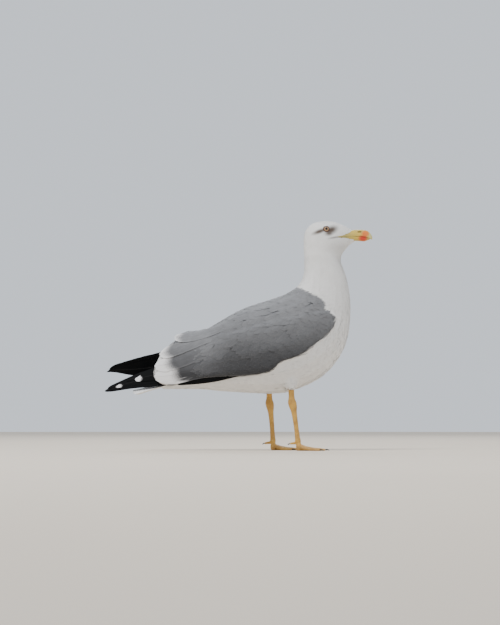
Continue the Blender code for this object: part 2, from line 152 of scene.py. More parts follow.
def body_station(points):
    """Each point's place on the unwrapped body: its station from 0 to 1, its angle round, and the flow."""
    back, belly = BODY[:, :2], BODY[:, 2:]
    across = belly - back
    size = np.linalg.norm(across, axis=1)
    across = across / size[:, None]
    place = points[:, None, [0, 2]] - back[None]
    down = (place * across).sum(-1)
    ahead = place[..., 1] * across[:, 0] - place[..., 0] * across[:, 1]
    beyond = np.maximum(0, -down - PAST_END) + np.maximum(0, down - size - PAST_END)
    nearest = (np.abs(ahead) + PAST_WEIGHT * beyond).argmin(1)
    middle = (back + belly)[nearest] / 2
    up = -((points[:, [0, 2]] - middle) * across[nearest]).sum(-1)
    angle = np.arctan2(points[:, 1], up)
    between = np.clip(ahead[np.arange(len(points)), nearest] / STATION_GAP, -0.5, 0.5)
    flow = np.stack([across[nearest, 1], np.zeros(len(points)), -across[nearest, 0]], -1)
    return (nearest + between) / FINE_STATIONS, angle, flow


# ---------------------------------------------------------------- meshes

def finish_piece(piece, material, slot, *nodes):
    """Every piece rides on the one body, takes the material (the slot is not used), and may stand for some
    of the solids.
    """
    piece.data.materials.append(material)
    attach(piece, "root")
    if nodes:
        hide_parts(*nodes)


def placed(name, data):
    """A new object in the scene."""
    obj = bpy.data.objects.new(name, data)
    bpy.context.scene.collection.objects.link(obj)
    return obj


def plain_mesh(name, points, faces):
    """A mesh from points in millimetres."""
    mesh = bpy.data.meshes.new(name)
    mesh.from_pydata(to_frame(points).tolist(), [], [list(map(int, face)) for face in faces])
    return mesh


def new_piece(name, points, faces):
    """A smooth mesh object from points in millimetres."""
    mesh = plain_mesh(name, points, faces)
    mesh.update()
    mesh.shade_smooth()
    return placed(name, mesh)


def tube_faces(count, around, closed=False):
    """The faces of a tube of rings. Its ends are capped, or joined to each other where it is closed."""
    at = np.arange(count * around).reshape(count, around)
    faces = [] if closed else [tuple(at[0, ::-1]), tuple(at[-1])]
    for ring in range(count if closed else count - 1):
        here, beyond = at[ring], at[(ring + 1) % count]
        for step in range(around):
            after = (step + 1) % around
            faces.append((here[step], here[after], beyond[after], beyond[step]))
    return faces


def tube_piece(name, rings):
    """A closed smooth piece from rings of points."""
    return new_piece(name, rings.reshape(-1, 3), tube_faces(*rings.shape[:2]))


def paint(piece, name, values):
    """Stores a colour (four values) or a vector (three) for each vertex."""
    values = np.asarray(values, np.float32)
    kind, field = ("FLOAT_COLOR", "color") if values.shape[1] == 4 else ("FLOAT_VECTOR", "vector")
    piece.data.attributes.new(name, kind, "POINT").data.foreach_set(field, values.ravel())


def paint_coat(piece, colours):
    """Stores the coat's colour on each vertex."""
    paint(piece, "coat", np.concatenate([colours, np.ones((len(colours), 1))], 1))


def taken_from(obj):
    """An object's evaluated points in side-view millimetres and its faces. The object itself goes."""
    mesh = obj.evaluated_get(bpy.context.evaluated_depsgraph_get()).to_mesh()
    points = np.empty(len(mesh.vertices) * 3)
    mesh.vertices.foreach_get("co", points)
    faces = [tuple(face.vertices) for face in mesh.polygons]
    obj.to_mesh_clear()
    bpy.data.objects.remove(obj)
    return points.reshape(-1, 3) / MM - SHIFT, faces


def four_corners(faces):
    """Four corners for each face. A triangle has its last one twice."""
    return np.array([face[:3] + (face[-1],) for face in faces])


def largest_shell(points, faces):
    """Only the outermost closed shell of a mesh, without pockets inside it."""
    parent = np.arange(len(points))
    corners = four_corners(faces)
    before = None
    while before is None or (parent != before).any():
        before = parent.copy()
        low = parent[corners].min(1)
        for column in corners.T:
            np.minimum.at(parent, column, low)
        parent = parent[parent]
    labels, counts = np.unique(parent, return_counts=True)
    keep = parent == labels[counts.argmax()]
    index = np.cumsum(keep) - 1
    return points[keep], [tuple(index[list(face)]) for face in faces if keep[face[0]]]


# Vertices this close are joined, solids swell this much so that they merge, and rays start this far out.
WELD = 0.02
SWELL = 0.25
FAR_OUT = 150.0


def welded(meshes, swell=0.0):
    """Several meshes as one object: doubled vertices are joined, and it swells by some millimetres."""
    work = bmesh.new()
    for mesh in meshes:
        work.from_mesh(mesh)
    bmesh.ops.remove_doubles(work, verts=work.verts, dist=WELD * MM)
    for vertex in work.verts:
        vertex.co += vertex.normal * (swell * MM)
    joined = bpy.data.meshes.new("work")
    work.to_mesh(joined)
    work.free()
    return placed("work", joined)


def fused(meshes, voxel, rounds):
    """One closed surface round several solids: their meshes joined, remade in voxels and smoothed."""
    obj = welded(meshes, SWELL)
    remesh = obj.modifiers.new("voxels", "REMESH")
    remesh.mode = "VOXEL"
    remesh.voxel_size = voxel * MM
    soften = obj.modifiers.new("soften", "SMOOTH")
    soften.factor = 0.5
    soften.iterations = rounds
    return largest_shell(*taken_from(obj))


class Hull:
    """A closed surface that feathers are laid on, in side-view millimetres."""

    def __init__(self, points, faces):
        self.points = points
        self.faces = faces
        self.corners = four_corners(faces)
        a, b, c, d = points[self.corners.T]
        cross = np.cross(c - a, d - b)
        self.areas = np.linalg.norm(cross, axis=1) / 2
        normals = np.zeros_like(points)
        for column in self.corners.T:
            np.add.at(normals, column, cross)
        self.normals = unit(normals)
        self.tree = BVHTree.FromPolygons([Vector(p) for p in points], faces)

    def nearest(self, points):
        """The closest points on the surface, with smoothed normals."""
        found = [self.tree.find_nearest(p) for p in points.reshape(-1, 3).tolist()]
        place = np.array([hit[0] for hit in found])
        corners = self.corners[[hit[2] for hit in found]]
        near = 1.0 / (np.linalg.norm(self.points[corners] - place[:, None], axis=-1) + 0.05) ** 2
        normals = unit((self.normals[corners] * near[..., None]).sum(1))
        return place.reshape(points.shape), normals.reshape(points.shape)

    def drape(self, points, normals, slack):
        """Moves points onto the surface, apart from those farther off it than the slack."""
        landed, landed_normals = self.nearest(points)
        free = (np.linalg.norm(landed - points, axis=-1) > slack)[..., None]
        return np.where(free, points, landed), np.where(free, normals, landed_normals)

    def width_at(self, side, x, z):
        """How far out the surface lies on one side."""
        return abs(self.tree.ray_cast(Vector((x, side * FAR_OUT, z)), Vector((0, -side, 0)))[0].y)

    def scatter(self, spacing, chosen, tries):
        """Roots at least spacing(points) apart over the chosen places, drawn at random."""
        middle = self.points[self.corners].mean(1)
        wanted = np.where(chosen(middle), self.areas / spacing(middle) ** 2, 0.0)
        count = int(wanted.sum() * tries)
        faces = RANDOM.choice(len(wanted), count, p=wanted / wanted.sum())
        u, v = RANDOM.random((2, count, 1))
        a, b, c, d = self.points[self.corners[faces].T]
        points = (a * (1 - u) + b * u) * (1 - v) + (d * (1 - u) + c * u) * v
        points = points[chosen(points)]
        gaps = spacing(points)
        places = points.tolist()
        tree = KDTree(len(points))
        for index, point in enumerate(places):
            tree.insert(point, index)
        tree.balance()
        taken = np.zeros(len(points), bool)
        kept = []
        for index, point in enumerate(places):
            if not taken[index]:
                kept.append(index)
                taken[[other for _, other, _ in tree.find_range(point, gaps[index])]] = True
        return points[kept]


# ---------------------------------------------------------------- node materials

COAT_ROUGHNESS = 0.04
SUBSURFACE_SCALE = 0.004
SHEEN_ROUGHNESS = 0.6
# The middle range of a noise pattern, in which most of its values lie.
PATCHES = (0.3, 0.7)


class Graph:
    """A Principled material and short ways of adding nodes to it."""

    def __init__(self, name, roughness, specular, sheen=0.0, coat=0.0, subsurface=0.0):
        self.material = bpy.data.materials.new(name)
        self.material.use_nodes = True
        self.tree = self.material.node_tree
        self.shader = self.tree.nodes["Principled BSDF"]
        finish = {
            "Roughness": roughness, "Specular IOR Level": specular, "Sheen Weight": sheen,
            "Coat Weight": coat, "Coat Roughness": COAT_ROUGHNESS,
            "Subsurface Weight": subsurface, "Subsurface Scale": SUBSURFACE_SCALE,
        }
        for socket, value in finish.items():
            self.shader.inputs[socket].default_value = value

    def put(self, socket, value):
        """Links a socket to another one, or gives it a number, vector or colour."""
        if isinstance(value, bpy.types.NodeSocket):
            self.tree.links.new(value, socket)
        elif socket.type == "RGBA":
            socket.default_value = (*value[:3], 1.0)
        else:
            socket.default_value = value

    def node(self, kind, output, inputs=(), **settings):
        """Adds a node with its settings and inputs, and gives one of its outputs."""
        node = self.tree.nodes.new("ShaderNode" + kind)
        for name, value in settings.items():
            setattr(node, name, value)
        for name, value in dict(inputs).items():
            self.put(node.inputs[name], value)
        return node.outputs[output]

    def math(self, operation, *values):
        """A number worked out from others."""
        return self.node("Math", 0, enumerate(values), operation=operation)

    def times(self, first, second):
        return self.math("MULTIPLY", first, second)

    def plus(self, first, second):
        return self.math("ADD", first, second)

    def attribute(self, name, output="Vector"):
        """What paint() stored on the mesh."""
        return self.node("Attribute", output, attribute_name=name)

    def split(self, vector):
        """The three numbers of a vector."""
        return self.node("SeparateXYZ", slice(3), {0: vector})

    def place(self):
        """Where a point lies on the object, in metres of the frame."""
        return self.node("TexCoord", "Object")

    def noise(self, scale, detail=3.0, vector=None, stretch=None):
        """Soft patches, over the object's own place unless another vector is given."""
        vector = self.place() if vector is None else vector
        if stretch:
            vector = self.node("Mapping", 0, {"Scale": stretch, "Vector": vector})
        return self.node("TexNoise", 0, {"Scale": scale, "Detail": detail, "Vector": vector})

    def cells(self, scale):
        """The distance to the nearest border between the cells of a pattern."""
        inputs = {"Scale": scale, "Vector": self.place()}
        return self.node("TexVoronoi", "Distance", inputs, feature="DISTANCE_TO_EDGE")

    def range(self, value, low, high, to_low=0.0, to_high=1.0):
        """A smooth step of value from low to high, given as to_low to to_high."""
        names = ("Value", "From Min", "From Max", "To Min", "To Max")
        inputs = zip(names, (value, low, high, to_low, to_high))
        return self.node("MapRange", "Result", inputs, interpolation_type="SMOOTHSTEP")

    def mix(self, share, first, second):
        """A colour between the first and the second."""
        return self.node("Mix", "Result", {"Factor": share, "A": first, "B": second}, data_type="RGBA")

    def layers(self, colour, *layers):
        """Lays further colours over a first one, each by its own share."""
        for share, over in layers:
            colour = self.mix(share, colour, srgb(*over))
        return colour

    def shade(self, colour, amount):
        """Multiplies a colour by a grey value."""
        return self.node("VectorMath", 0, {0: colour, "Scale": amount}, operation="SCALE")

    def spot(self, middle, radii, soft=0.45, wobble=0.3):
        """1 inside an ellipsoid of the side view (millimetres), falling to 0 across its soft edge."""
        total = 0.0
        for output, centre, radius in zip(self.split(self.place()), to_frame(middle), radii):
            step = self.times(self.math("SUBTRACT", output, float(centre)), 1.0 / (radius * MM))
            total = self.plus(total, self.times(step, step))
        far = self.plus(self.math("SQRT", total), self.times(self.noise(260.0), wobble))
        return self.range(far, 1.0 + soft, 1.0 - soft)

    def bump(self, height, tall, strength):
        """Small relief, whose height is given in millimetres."""
        inputs = {"Strength": strength, "Distance": tall * MM, "Height": height}
        self.put(self.shader.inputs["Normal"], self.node("Bump", 0, inputs))

    def colour(self, colour):
        """Gives the shader its colour, and returns the finished material."""
        self.put(self.shader.inputs["Base Color"], colour)
        return self.material


def plumage_material(name, barbs, shaft=0.0, fringe=0.0, sheen=0.25, roughness=0.72, specular=0.25,
                     fade=2.0, vary=1.0):
    """Feathers: their coat colour with barbs, streaks, a shaft, a paler fringe and a white tip, and painted
    shade towards the root.
    """
    graph = Graph(name, roughness, specular, sheen)
    graph.shader.inputs["Sheen Roughness"].default_value = SHEEN_ROUGHNESS
    vane = graph.attribute("vane")
    along, across, chance = graph.split(vane)
    past_tip, share, _ = graph.split(graph.attribute("tip"))
    out = graph.math("ABSOLUTE", across)
    slant = graph.plus(along, graph.times(out, 5.0))
    warp = graph.times(graph.noise(90.0, 2.0), 1.6)
    lines = graph.math("SINE", graph.times(graph.plus(slant, warp), barbs))
    wear = graph.range(graph.noise(55.0, 4.0), *PATCHES, 1 - 0.07 * vary, 1 + 0.03 * vary)
    streaks = graph.noise(1.0, 3.0, vane, (0.1, 2.2, 40.0))
    streak = graph.range(streaks, *PATCHES, 1 - 0.1 * vary, 1 + 0.06 * vary)
    tone = graph.plus(graph.times(chance, 0.09 * vary), 1 - 0.06 * vary)
    grain = graph.plus(graph.times(lines, 0.022), 1.0)
    # Painted shade: each feather darker towards its root, where it lies under its neighbours.
    depth = graph.range(share, 0.0, 0.7, 1 - 0.14 * vary, 1.0)
    amount = graph.times(graph.times(tone, grain), graph.times(wear, depth))
    colour = graph.shade(graph.attribute("coat", "Color"), graph.times(amount, streak))
    if fringe:
        edge = graph.math("MAXIMUM", graph.range(out, 0.72, 1.0), graph.range(share, 0.9, 1.0))
        colour = graph.mix(graph.times(edge, fringe), colour, FRINGE)
    ragged = graph.times(graph.math("SUBTRACT", graph.noise(420.0), 0.5), 9.0)
    white = graph.range(graph.plus(past_tip, ragged), -fade, fade)
    colour = graph.mix(white, colour, graph.shade(tuple(TIP_WHITE), grain))
    ridge = lines
    if shaft:
        rib = graph.range(out, 0.09, 0.0)
        colour = graph.mix(graph.times(rib, shaft), colour, SHAFT)
        ridge = graph.plus(lines, graph.times(rib, 3.0))
    graph.bump(ridge, 0.04, 0.5)
    return graph.colour(colour)


# ---------------------------------------------------------------- feathers

TUFT = {
    "rows": (0.0, 0.3, 0.58, 0.82, 1.0), "widths": (0.5, 0.9, 1.0, 0.72, 0.26),
    "across": (-1.0, 0.0, 1.0), "ragged": 0.012, "camber": 0.08,
}
VANE = {
    "rows": (0.0, 0.25, 0.5, 0.7, 0.86, 1.0), "widths": (0.4, 0.78, 0.98, 1.0, 0.78, 0.3),
    "across": (-1.0, -0.5, 0.0, 0.5, 1.0), "ragged": 0.012, "camber": 0.05,
}
PLUME = {
    "rows": (0.0, 0.3, 0.56, 0.8, 1.0), "widths": (0.45, 0.86, 1.0, 0.8, 0.36),
    "across": (-1.0, -0.4, 0.4, 1.0), "ragged": 0.02, "camber": 0.08,
}
# The spread of the feathers' headings, how much they tilt and rise at random, and how far the tips vary.
STRAY = 0.09
TILT = 0.16
UNEVEN = 0.25
TIP_REACH = 0.03
# A small feather's patch on the baking map, and the white tip of one that has none.
PATCH = 0.0026
NO_TIP = -50.0
LEAST_FACING = 0.05


def vane_faces(rows, columns):
    """The faces of one closed vane: a gridded top, a plain underside and the two ends."""
    at = np.arange(rows * columns).reshape(rows, columns)
    faces = []
    for here, beyond in zip(at, at[1:]):
        for column in range(columns - 1):
            faces.append((here[column], here[column + 1], beyond[column + 1], beyond[column]))
        faces.append((here[-1], here[0], beyond[0], beyond[-1]))
    faces.append(tuple(at[0, ::-1]))
    faces.append(tuple(at[-1]))
    return faces


def vane_normals(grid, up, softness):
    """Shading normals for the tops of vanes: their own, eased towards the body's."""
    along = np.gradient(grid, axis=1)
    over = np.gradient(grid, axis=2)
    own = unit(np.cross(over, along))
    own = own * np.sign((own * up).sum(-1, keepdims=True) + 1e-9)
    return unit((1 - softness) * own + softness * up)


def many_vanes(name, grid, uv, soft_normals, softness):
    """Joins vanes given as (count, rows, columns, 3) points into one mesh, with their baking map."""
    count, rows, columns = grid.shape[:3]
    faces = vane_faces(rows, columns)
    loops = np.concatenate([np.array(face) for face in faces])
    sizes = np.array([len(face) for face in faces])
    order = np.arange(count)[:, None]
    corner = (loops[None] + order * rows * columns).ravel()
    starts = np.concatenate([[0], np.cumsum(sizes)[:-1]])[None] + order * len(loops)
    mesh = bpy.data.meshes.new(name)
    mesh.vertices.add(count * rows * columns)
    mesh.vertices.foreach_set("co", to_frame(grid.reshape(-1, 3)).ravel())
    mesh.loops.add(len(corner))
    mesh.loops.foreach_set("vertex_index", corner.astype(np.int32))
    mesh.polygons.add(count * len(faces))
    mesh.polygons.foreach_set("loop_start", starts.ravel().astype(np.int32))
    mesh.update(calc_edges=True)
    layer = mesh.uv_layers.new(name="OFBake")
    layer.data.foreach_set("uv", uv.reshape(-1, 2)[corner].astype(np.float32).ravel())
    mesh.shade_smooth()
    flat = np.empty(len(mesh.polygons) * 3)
    mesh.polygons.foreach_get("normal", flat)
    flat = flat.reshape(count, len(faces), 3)
    on_top = np.array([len(face) == 4 and face[1] == face[0] + 1 for face in faces])
    own = vane_normals(grid, soft_normals, softness)
    corners = np.where(
        np.repeat(on_top, sizes)[None, :, None], own.reshape(-1, 3)[corner].reshape(count, -1, 3),
        np.repeat(flat, sizes, axis=1),
    )
    mesh.normals_split_custom_set(corners.reshape(-1, 3).tolist())
    return placed(name, mesh)


def paint_vanes(piece, colours, share, across, length, chance, past_tip):
    """Stores each vertex's coat colour, and where it lies on its feather, for the plumage's nodes."""
    paint_coat(piece, colours)
    along = share * length[:, None, None]
    chance = chance[:, None, None]
    for name, values in (("vane", (along, across, chance)), ("tip", (past_tip, share, 0.0))):
        paint(piece, name, np.stack(np.broadcast_arrays(*values), -1).reshape(-1, 3))


def unfolded(grid, up):
    """Which vanes lie open over the body, with no part of them turned over."""
    along = np.diff(grid, axis=1)
    over = np.diff(grid, axis=2)
    low = np.cross(over[:, :-1], along[:, :, :-1])
    high = np.cross(over[:, 1:], along[:, :, 1:])
    facing = [(unit(part) * up[:, :-1, :-1]).sum(-1) for part in (low, high)]
    return np.minimum(*facing).min((1, 2)) > LEAST_FACING


def arched(grid, up, across, half):
    """Raises the middle of vanes over the line between their edges, more so where they twist."""
    part = ((across + 1) / 2)[:, None]
    chord = grid[:, :, :1] * (1 - part) + grid[:, :, -1:] * part
    arch = ((grid - chord) * up).sum(-1)
    corner = grid[:, :, 0] - grid[:, :, -1]
    twist = np.linalg.norm(np.diff(corner, axis=1), axis=-1) / 4
    twist = np.maximum(np.pad(twist, ((0, 0), (0, 1))), np.pad(twist, ((0, 0), (1, 0))))
    least = (0.06 * half[:, None] + 0.35 * np.minimum(twist, 0.5))[..., None] * (1 - across**2)
    return grid + up * np.maximum(least - arch, 0)[..., None]


def lay_feathers(name, hull, roots, flow, length, half, lift, form, softness, tone, by_vertex=False):
    """Feathers laid on the hull from their roots along the flow, as one mesh.

    length and half (width) are millimetres for each feather, and lift is the height over the hull at root
    and tip. A feather has its root's colour all over, unless by_vertex gives each vertex its own.
    """
    rows, widths, across = (np.array(form[key]) for key in ("rows", "widths", "across"))
    count = len(roots)
    place, normal = hull.nearest(roots)
    turn = RANDOM.normal(0, STRAY, count)[:, None]
    centre, normals, sideways = np.empty((3, count, len(rows), 3))
    for row, at in enumerate(rows):
        wanted = flow(place)
        heading = unit(wanted - (wanted * normal).sum(-1, keepdims=True) * normal)
        heading = heading * np.cos(turn) + np.cross(normal, heading) * np.sin(turn)
        centre[:, row], normals[:, row], sideways[:, row] = place, normal, np.cross(heading, normal)
        if row < len(rows) - 1:
            step = length * (rows[row + 1] - at)
            place, normal = hull.drape(place + heading * step[:, None], normal, 0.3 * step + 1.0)
    wide = half[:, None, None]
    spread = (half[:, None] * widths)[:, :, None, None] * across[:, None]
    raw = centre[:, :, None] + sideways[:, :, None] * spread
    grid, up = hull.drape(raw, normals[:, :, None], 0.5 * wide + 1.0)
    chance = RANDOM.random(count)
    tilt = ((RANDOM.random(count) - 0.5) * TILT * half)[:, None, None]
    run = rows[:, None]
    rise = lift[1] - lift[0]
    height = lift[0] + rise * run**0.8 + tilt * across * run - form["camber"] * wide * across**2
    height = height + (chance[:, None, None] - 0.5) * UNEVEN * rise
    grid = arched(grid + up * height[..., None], up, across, half)
    ragged = np.zeros((count, len(rows), len(across)))
    ragged[:, -1] = np.clip(RANDOM.normal(0, form["ragged"], (count, len(across))), -TIP_REACH, TIP_REACH)
    ragged[:, -1] -= 0.03 * across**2
    ragged[:, 0] = 0.06 * across**2
    grid = grid + np.cross(up, sideways[:, :, None]) * (ragged * length[:, None, None])[..., None]
    sound = unfolded(grid, up)
    grid, up, ragged, roots, length, chance = (
        part[sound] for part in (grid, up, ragged, roots, length, chance)
    )
    share = np.clip(run + ragged, 0, 1.1)
    station, angle, _ = body_station(roots)
    uv = np.empty((*share.shape, 2))
    uv[..., 0] = station[:, None, None] + across * PATCH / 2
    uv[..., 1] = (angle / (2 * math.pi) + 0.5)[:, None, None] * 0.99 + 0.005 + (share - 0.5) * PATCH
    piece = many_vanes(name, grid, np.clip(uv, 0.0, 1.0), up, softness)
    colours = tone(grid.reshape(-1, 3)) if by_vertex else np.repeat(tone(roots), share[0].size, axis=0)
    paint_vanes(piece, colours, share, across, length, chance, NO_TIP)
    return piece


# ---------------------------------------------------------------- colours of skin and coat

def grey_depth(points):
    """How far places lie inside the outline of the grey on the side view. Outside it is negative."""
    x, _, z = points.T
    start = np.asarray(GREY_OUTLINE, float)
    end = np.roll(start, -1, axis=0)
    places = np.stack([x, z], -1)[:, None]
    run = (end - start)[None]
    share = np.clip(((places - start) * run).sum(-1) / (run**2).sum(-1), 0, 1)
    far = np.linalg.norm(places - start - share[..., None] * run, axis=-1).min(1)
    above = (start[None, :, 1] > z[:, None]) != (end[None, :, 1] > z[:, None])
    with np.errstate(divide="ignore", invalid="ignore"):
        crossing = start[:, 0] + (z[:, None] - start[:, 1]) / run[0, :, 1] * run[0, :, 0]
    inside = (above & (x[:, None] < crossing)).sum(1) % 2 == 1
    return np.where(inside, far, -far)


# Soft marks and painted shade on both sides of the face: strength, middle (x, z), radii and slope.
FACE_MARKS_AND_SHADE = (
    # Before the eye: dusky feathers, and painted shade in the hollow of the lores.
    (1.0, (163.5, 394.2), (18.5, 10.2), 0.46),
    (0.95, (160.0, 389.0), (11.5, 7.2), 0.2),
    (1.0, (143.0, 391.8), (19.0, 5.8), 0.35),
    (0.6, (170.0, 381.0), (17.0, 2.8), 0.2),
    # Painted shade under the chin, on the throat.
    (0.13, (174.0, 362.0), (34.0, 19.0), 0.0),
)


def face_marks_and_shade(points):
    """How dusky places on the face are, from 0 to 1: dusky marks, and painted shade before the eye and
    under the chin.
    """
    x, y, z = points.T
    marks = []
    for strength, middle, radii, slope in FACE_MARKS_AND_SHADE:
        ahead, above = x - middle[0], z - middle[1]
        along = ahead * math.cos(slope) + above * math.sin(slope)
        across = -ahead * math.sin(slope) + above * math.cos(slope)
        far = np.hypot(along / radii[0], across / radii[1])
        marks.append(strength * (1 - smooth_step(far, 0.15, 1.05)))
    return np.max(marks, axis=0) * smooth_step(np.abs(y), 4, 8)


# The lower edge of the shoulder feathers on the side view.
SHOULDER_X = (-60, -3, 27, 54, 78, 117, 153, 175)
SHOULDER_Z = (172, 195, 210, 224, 231, 235, 240, 243)


def above_shoulder(points):
    """How far places lie above the shoulder feathers' lower edge."""
    return points[:, 2] - np.interp(points[:, 0], SHOULDER_X, SHOULDER_Z)


def grey_with_painted_shade(points):
    """The grey of back and wings, with painted shade: palest above and behind, darkest along the wing's
    lower edge, and a step darker just under the shoulder feathers' edge.
    """
    x, _, z = points.T
    # Painted shade: the grey darkens downwards, front and rear, and a painted shadow lies just under the
    # shoulder feathers' lower edge.
    height = z + 0.6 * np.clip(above_shoulder(points), -8, 4)
    front = blend(GREY_SHADED, GREY_HIGH, np.interp(height, (130, 165, 207, 262), (0.0, 0.13, 0.54, 0.98)))
    rear = blend(REAR_SHADED, REAR_HIGH, smooth_step(z, 150, 205))
    return blend(front, rear, smooth_step(x, 10, -62) * smooth_step(z, 134, 156))


def coat_colour(points):
    """The plumage's colour at places on the body: white, the grey of back and wings with its painted shade,
    marks by the eye, and painted shade under the chin.
    """
    grey = smooth_step(grey_depth(points), -1.5, 3.0) * (1 - smooth_step(points[:, 0], -120, -136))
    return blend(blend(WHITE, DUSKY, face_marks_and_shade(points)), grey_with_painted_shade(points), grey)


# The eye's surroundings lie above this height. The coat's lie on thighs and rump, as directions.
HEAD_LOW = 370
THIGH_FLOW = np.array([-0.35, 0, -1.0])
RUMP_FLOW = np.array([-0.5, 0, -0.86])


def body_flow(points):
    """The lie of the coat on the body: away from the bill, round the eye, and down the thighs and rump."""
    x, y, z = points.T
    _, _, flow = body_station(points)
    for foot_x, foot_y in FEET.values():
        hip = np.hypot(x - foot_x + 14, y - foot_y) / 22
        flow = blend(flow, THIGH_FLOW, smooth_step(z, 124, 106) * smooth_step(hip, 1.2, 0.7))
    out = (points - EYE_AT) * (1, 0, 1)
    reach = np.linalg.norm(out, axis=1)
    push = 0.8 * (1 - smooth_step(reach, 6, 12)) * (z > HEAD_LOW) / (reach + 0.01)
    flow = flow + push[:, None] * out
    return blend(flow, RUMP_FLOW, smooth_step(x, -124, -134) * smooth_step(z, 113, 119))


def wing_flow(points):
    """The lie of the back's and wing's feathers: steep over the wing, nearly level along its lower edge."""
    x, _, z = points.T
    rise = np.clip((z - 132 - 0.3 * x) / 105, 0, 1)
    slope = np.radians(np.interp(rise, (0, 0.22, 0.6, 1.0), (7, 22, 33, 21)))
    return np.stack([-np.cos(slope), np.zeros(len(points)), -np.sin(slope)], -1)


# ---------------------------------------------------------------- skin

FLESH = ("trunk", "breast", "mantle", "neck", "head")
LEG_PARTS = ("tibia_", "tarsus_", "foot_", "hallux_")
# Flesh that fills the space under the folded wings: x, top, bottom, half width.
RUMP = (
    (-48, 216, 112, 52), (-85, 206, 112, 45), (-105, 205, 112, 41), (-117, 194, 113, 37),
    (-130, 180, 114, 33), (-140, 168, 114, 27), (-147, 154, 116, 18), (-150, 142, 121, 9),
)
RUMP_TURNS = 32
BODY_VOXEL = 2.2
LEG_VOXEL = 0.68
# Short tubes that close the partings between the leg's solids: heights, place ahead, radii.
COLLARS = (((8, 13, 17, 21), -1.2, (4.4, 4.9, 5.0, 4.4)), ((84, 90, 96), -12.0, (4.6, 5.4, 4.6)))
COLLAR_TURNS = 20
LEG_FLAT = 0.84
# The legs' middle lines rise from the feet to here.
HIP_OUT = 33
HIP_HEIGHT = 130
# The leg's plates: distance and height. The skin stays above the sole's height.
PLATE_STEP = 2.9
PLATE_RISE = 0.28
SOLE = 0.02


def both_sides(*parts):
    """The names of parts that the bird has on its right and its left."""
    return [part + side for side in SIDES for part in parts]


def node_meshes(names):
    """The solids' meshes."""
    return [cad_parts[name].data for name in names]


def squared(value):
    """A sine or cosine for a slightly squarer round."""
    return math.copysign(abs(value) ** 0.89, value)


def rump_mesh():
    """The flesh under the folded wings as a closed mesh."""
    points = []
    for x, top, bottom, half in RUMP:
        for turn in round_turns(RUMP_TURNS):
            rise = squared(math.cos(turn)) * (top - bottom) / 2
            points.append((x, squared(math.sin(turn)) * half, (top + bottom) / 2 + rise))
    faces = [face[::-1] for face in tube_faces(len(RUMP), RUMP_TURNS)]
    return plain_mesh("rump", points, faces)


def make_hull(*extra):
    """One closed surface round the body's solids and any extra ones, without the bare legs."""
    names = [*FLESH, *extra, *both_sides("wing_", "thigh_", "eye_")]
    return Hull(*fused(node_meshes(names) + [rump_mesh()], BODY_VOXEL, 5))


def coat_depth(points):
    """How far the skin lies under the tips of the coat: deep round the eye, shallow at the chin."""
    x, _, z = points.T
    depth = np.interp(z, (108, 135, 300, 345, 385), (2.0, 2.1, 1.9, 1.4, 0.8))
    grey = smooth_step(grey_depth(points), 0, 5) * smooth_step(z, 135, 145)
    depth = depth * (1 - grey) + 1.4 * grey
    chin = smooth_step(x, 190, 199) * smooth_step(z, 388, 384)
    rear = smooth_step(x, -112, -132) * smooth_step(z, 118, 124)
    eye = (1 - smooth_step(np.hypot(x - EYE_AT[0], z - EYE_AT[2]), 4.6, 6.6)) * (z > HEAD_LOW)
    return depth * (1 - 0.85 * chin) + 0.8 * rear + 2.6 * eye


def leg_scutes(points, normals, foot):
    """Raises the plates on the front of the leg and on the tops of the toes."""
    x, y, z = points.T
    on_leg = smooth_step(z, 14, 22)
    run = z * on_leg + np.hypot(x - foot[0], y - foot[1]) * (1 - on_leg)
    plate = np.mod(run / PLATE_STEP, 1.0)
    ridge = smooth_step(plate, 0.0, 0.2) * (1 - smooth_step(plate, 0.55, 1.0))
    front = smooth_step(normals[:, 0], 0.1, 0.7) * on_leg
    top = smooth_step(normals[:, 2], 0.3, 0.8) * (1 - on_leg) * smooth_step(z, 2.4, 3.4)
    return points + normals * (PLATE_RISE * ridge * (front + top))[:, None]


def leg_collar(side, heights, ahead, radii):
    """A short tube of the leg that closes the parting between two of its solids."""
    foot_x, foot_y = FEET[side]
    points = []
    for height, radius in zip(heights, radii):
        x = foot_x + ahead + LEAN[side] * height
        y = foot_y + (SIDES[side] * HIP_OUT - foot_y) * height / HIP_HEIGHT
        for turn in round_turns(COLLAR_TURNS):
            points.append((x + radius * math.cos(turn), y + LEG_FLAT * radius * math.sin(turn), height))
    return plain_mesh("collar", points, tube_faces(len(heights), COLLAR_TURNS))


def heel_pull(points, foot):
    """Draws in the round back of the foot so that the leg runs down into it."""
    x, y, z = points.T
    near = (1 - smooth_step(np.hypot(x - foot[0], y - foot[1]), 8, 12)) * (1 - smooth_step(z, 13, 17))
    near = near * smooth_step(foot[0] - x, -3, 4)
    pulled = points.copy()
    pulled[:, :2] -= (points[:, :2] - foot) * 0.3 * near[:, None]
    return pulled


def make_leg(side):
    """The bare leg and webbed foot of one side: points and faces."""
    names = [part + side for part in LEG_PARTS]
    collars = [leg_collar(side, *collar) for collar in COLLARS]
    leg = Hull(*fused(node_meshes(names) + collars, LEG_VOXEL, 6))
    points = heel_pull(leg_scutes(leg.points, leg.normals, FEET[side]), FEET[side])
    points[:, 2] = np.maximum(points[:, 2], SOLE)
    return points, leg.faces


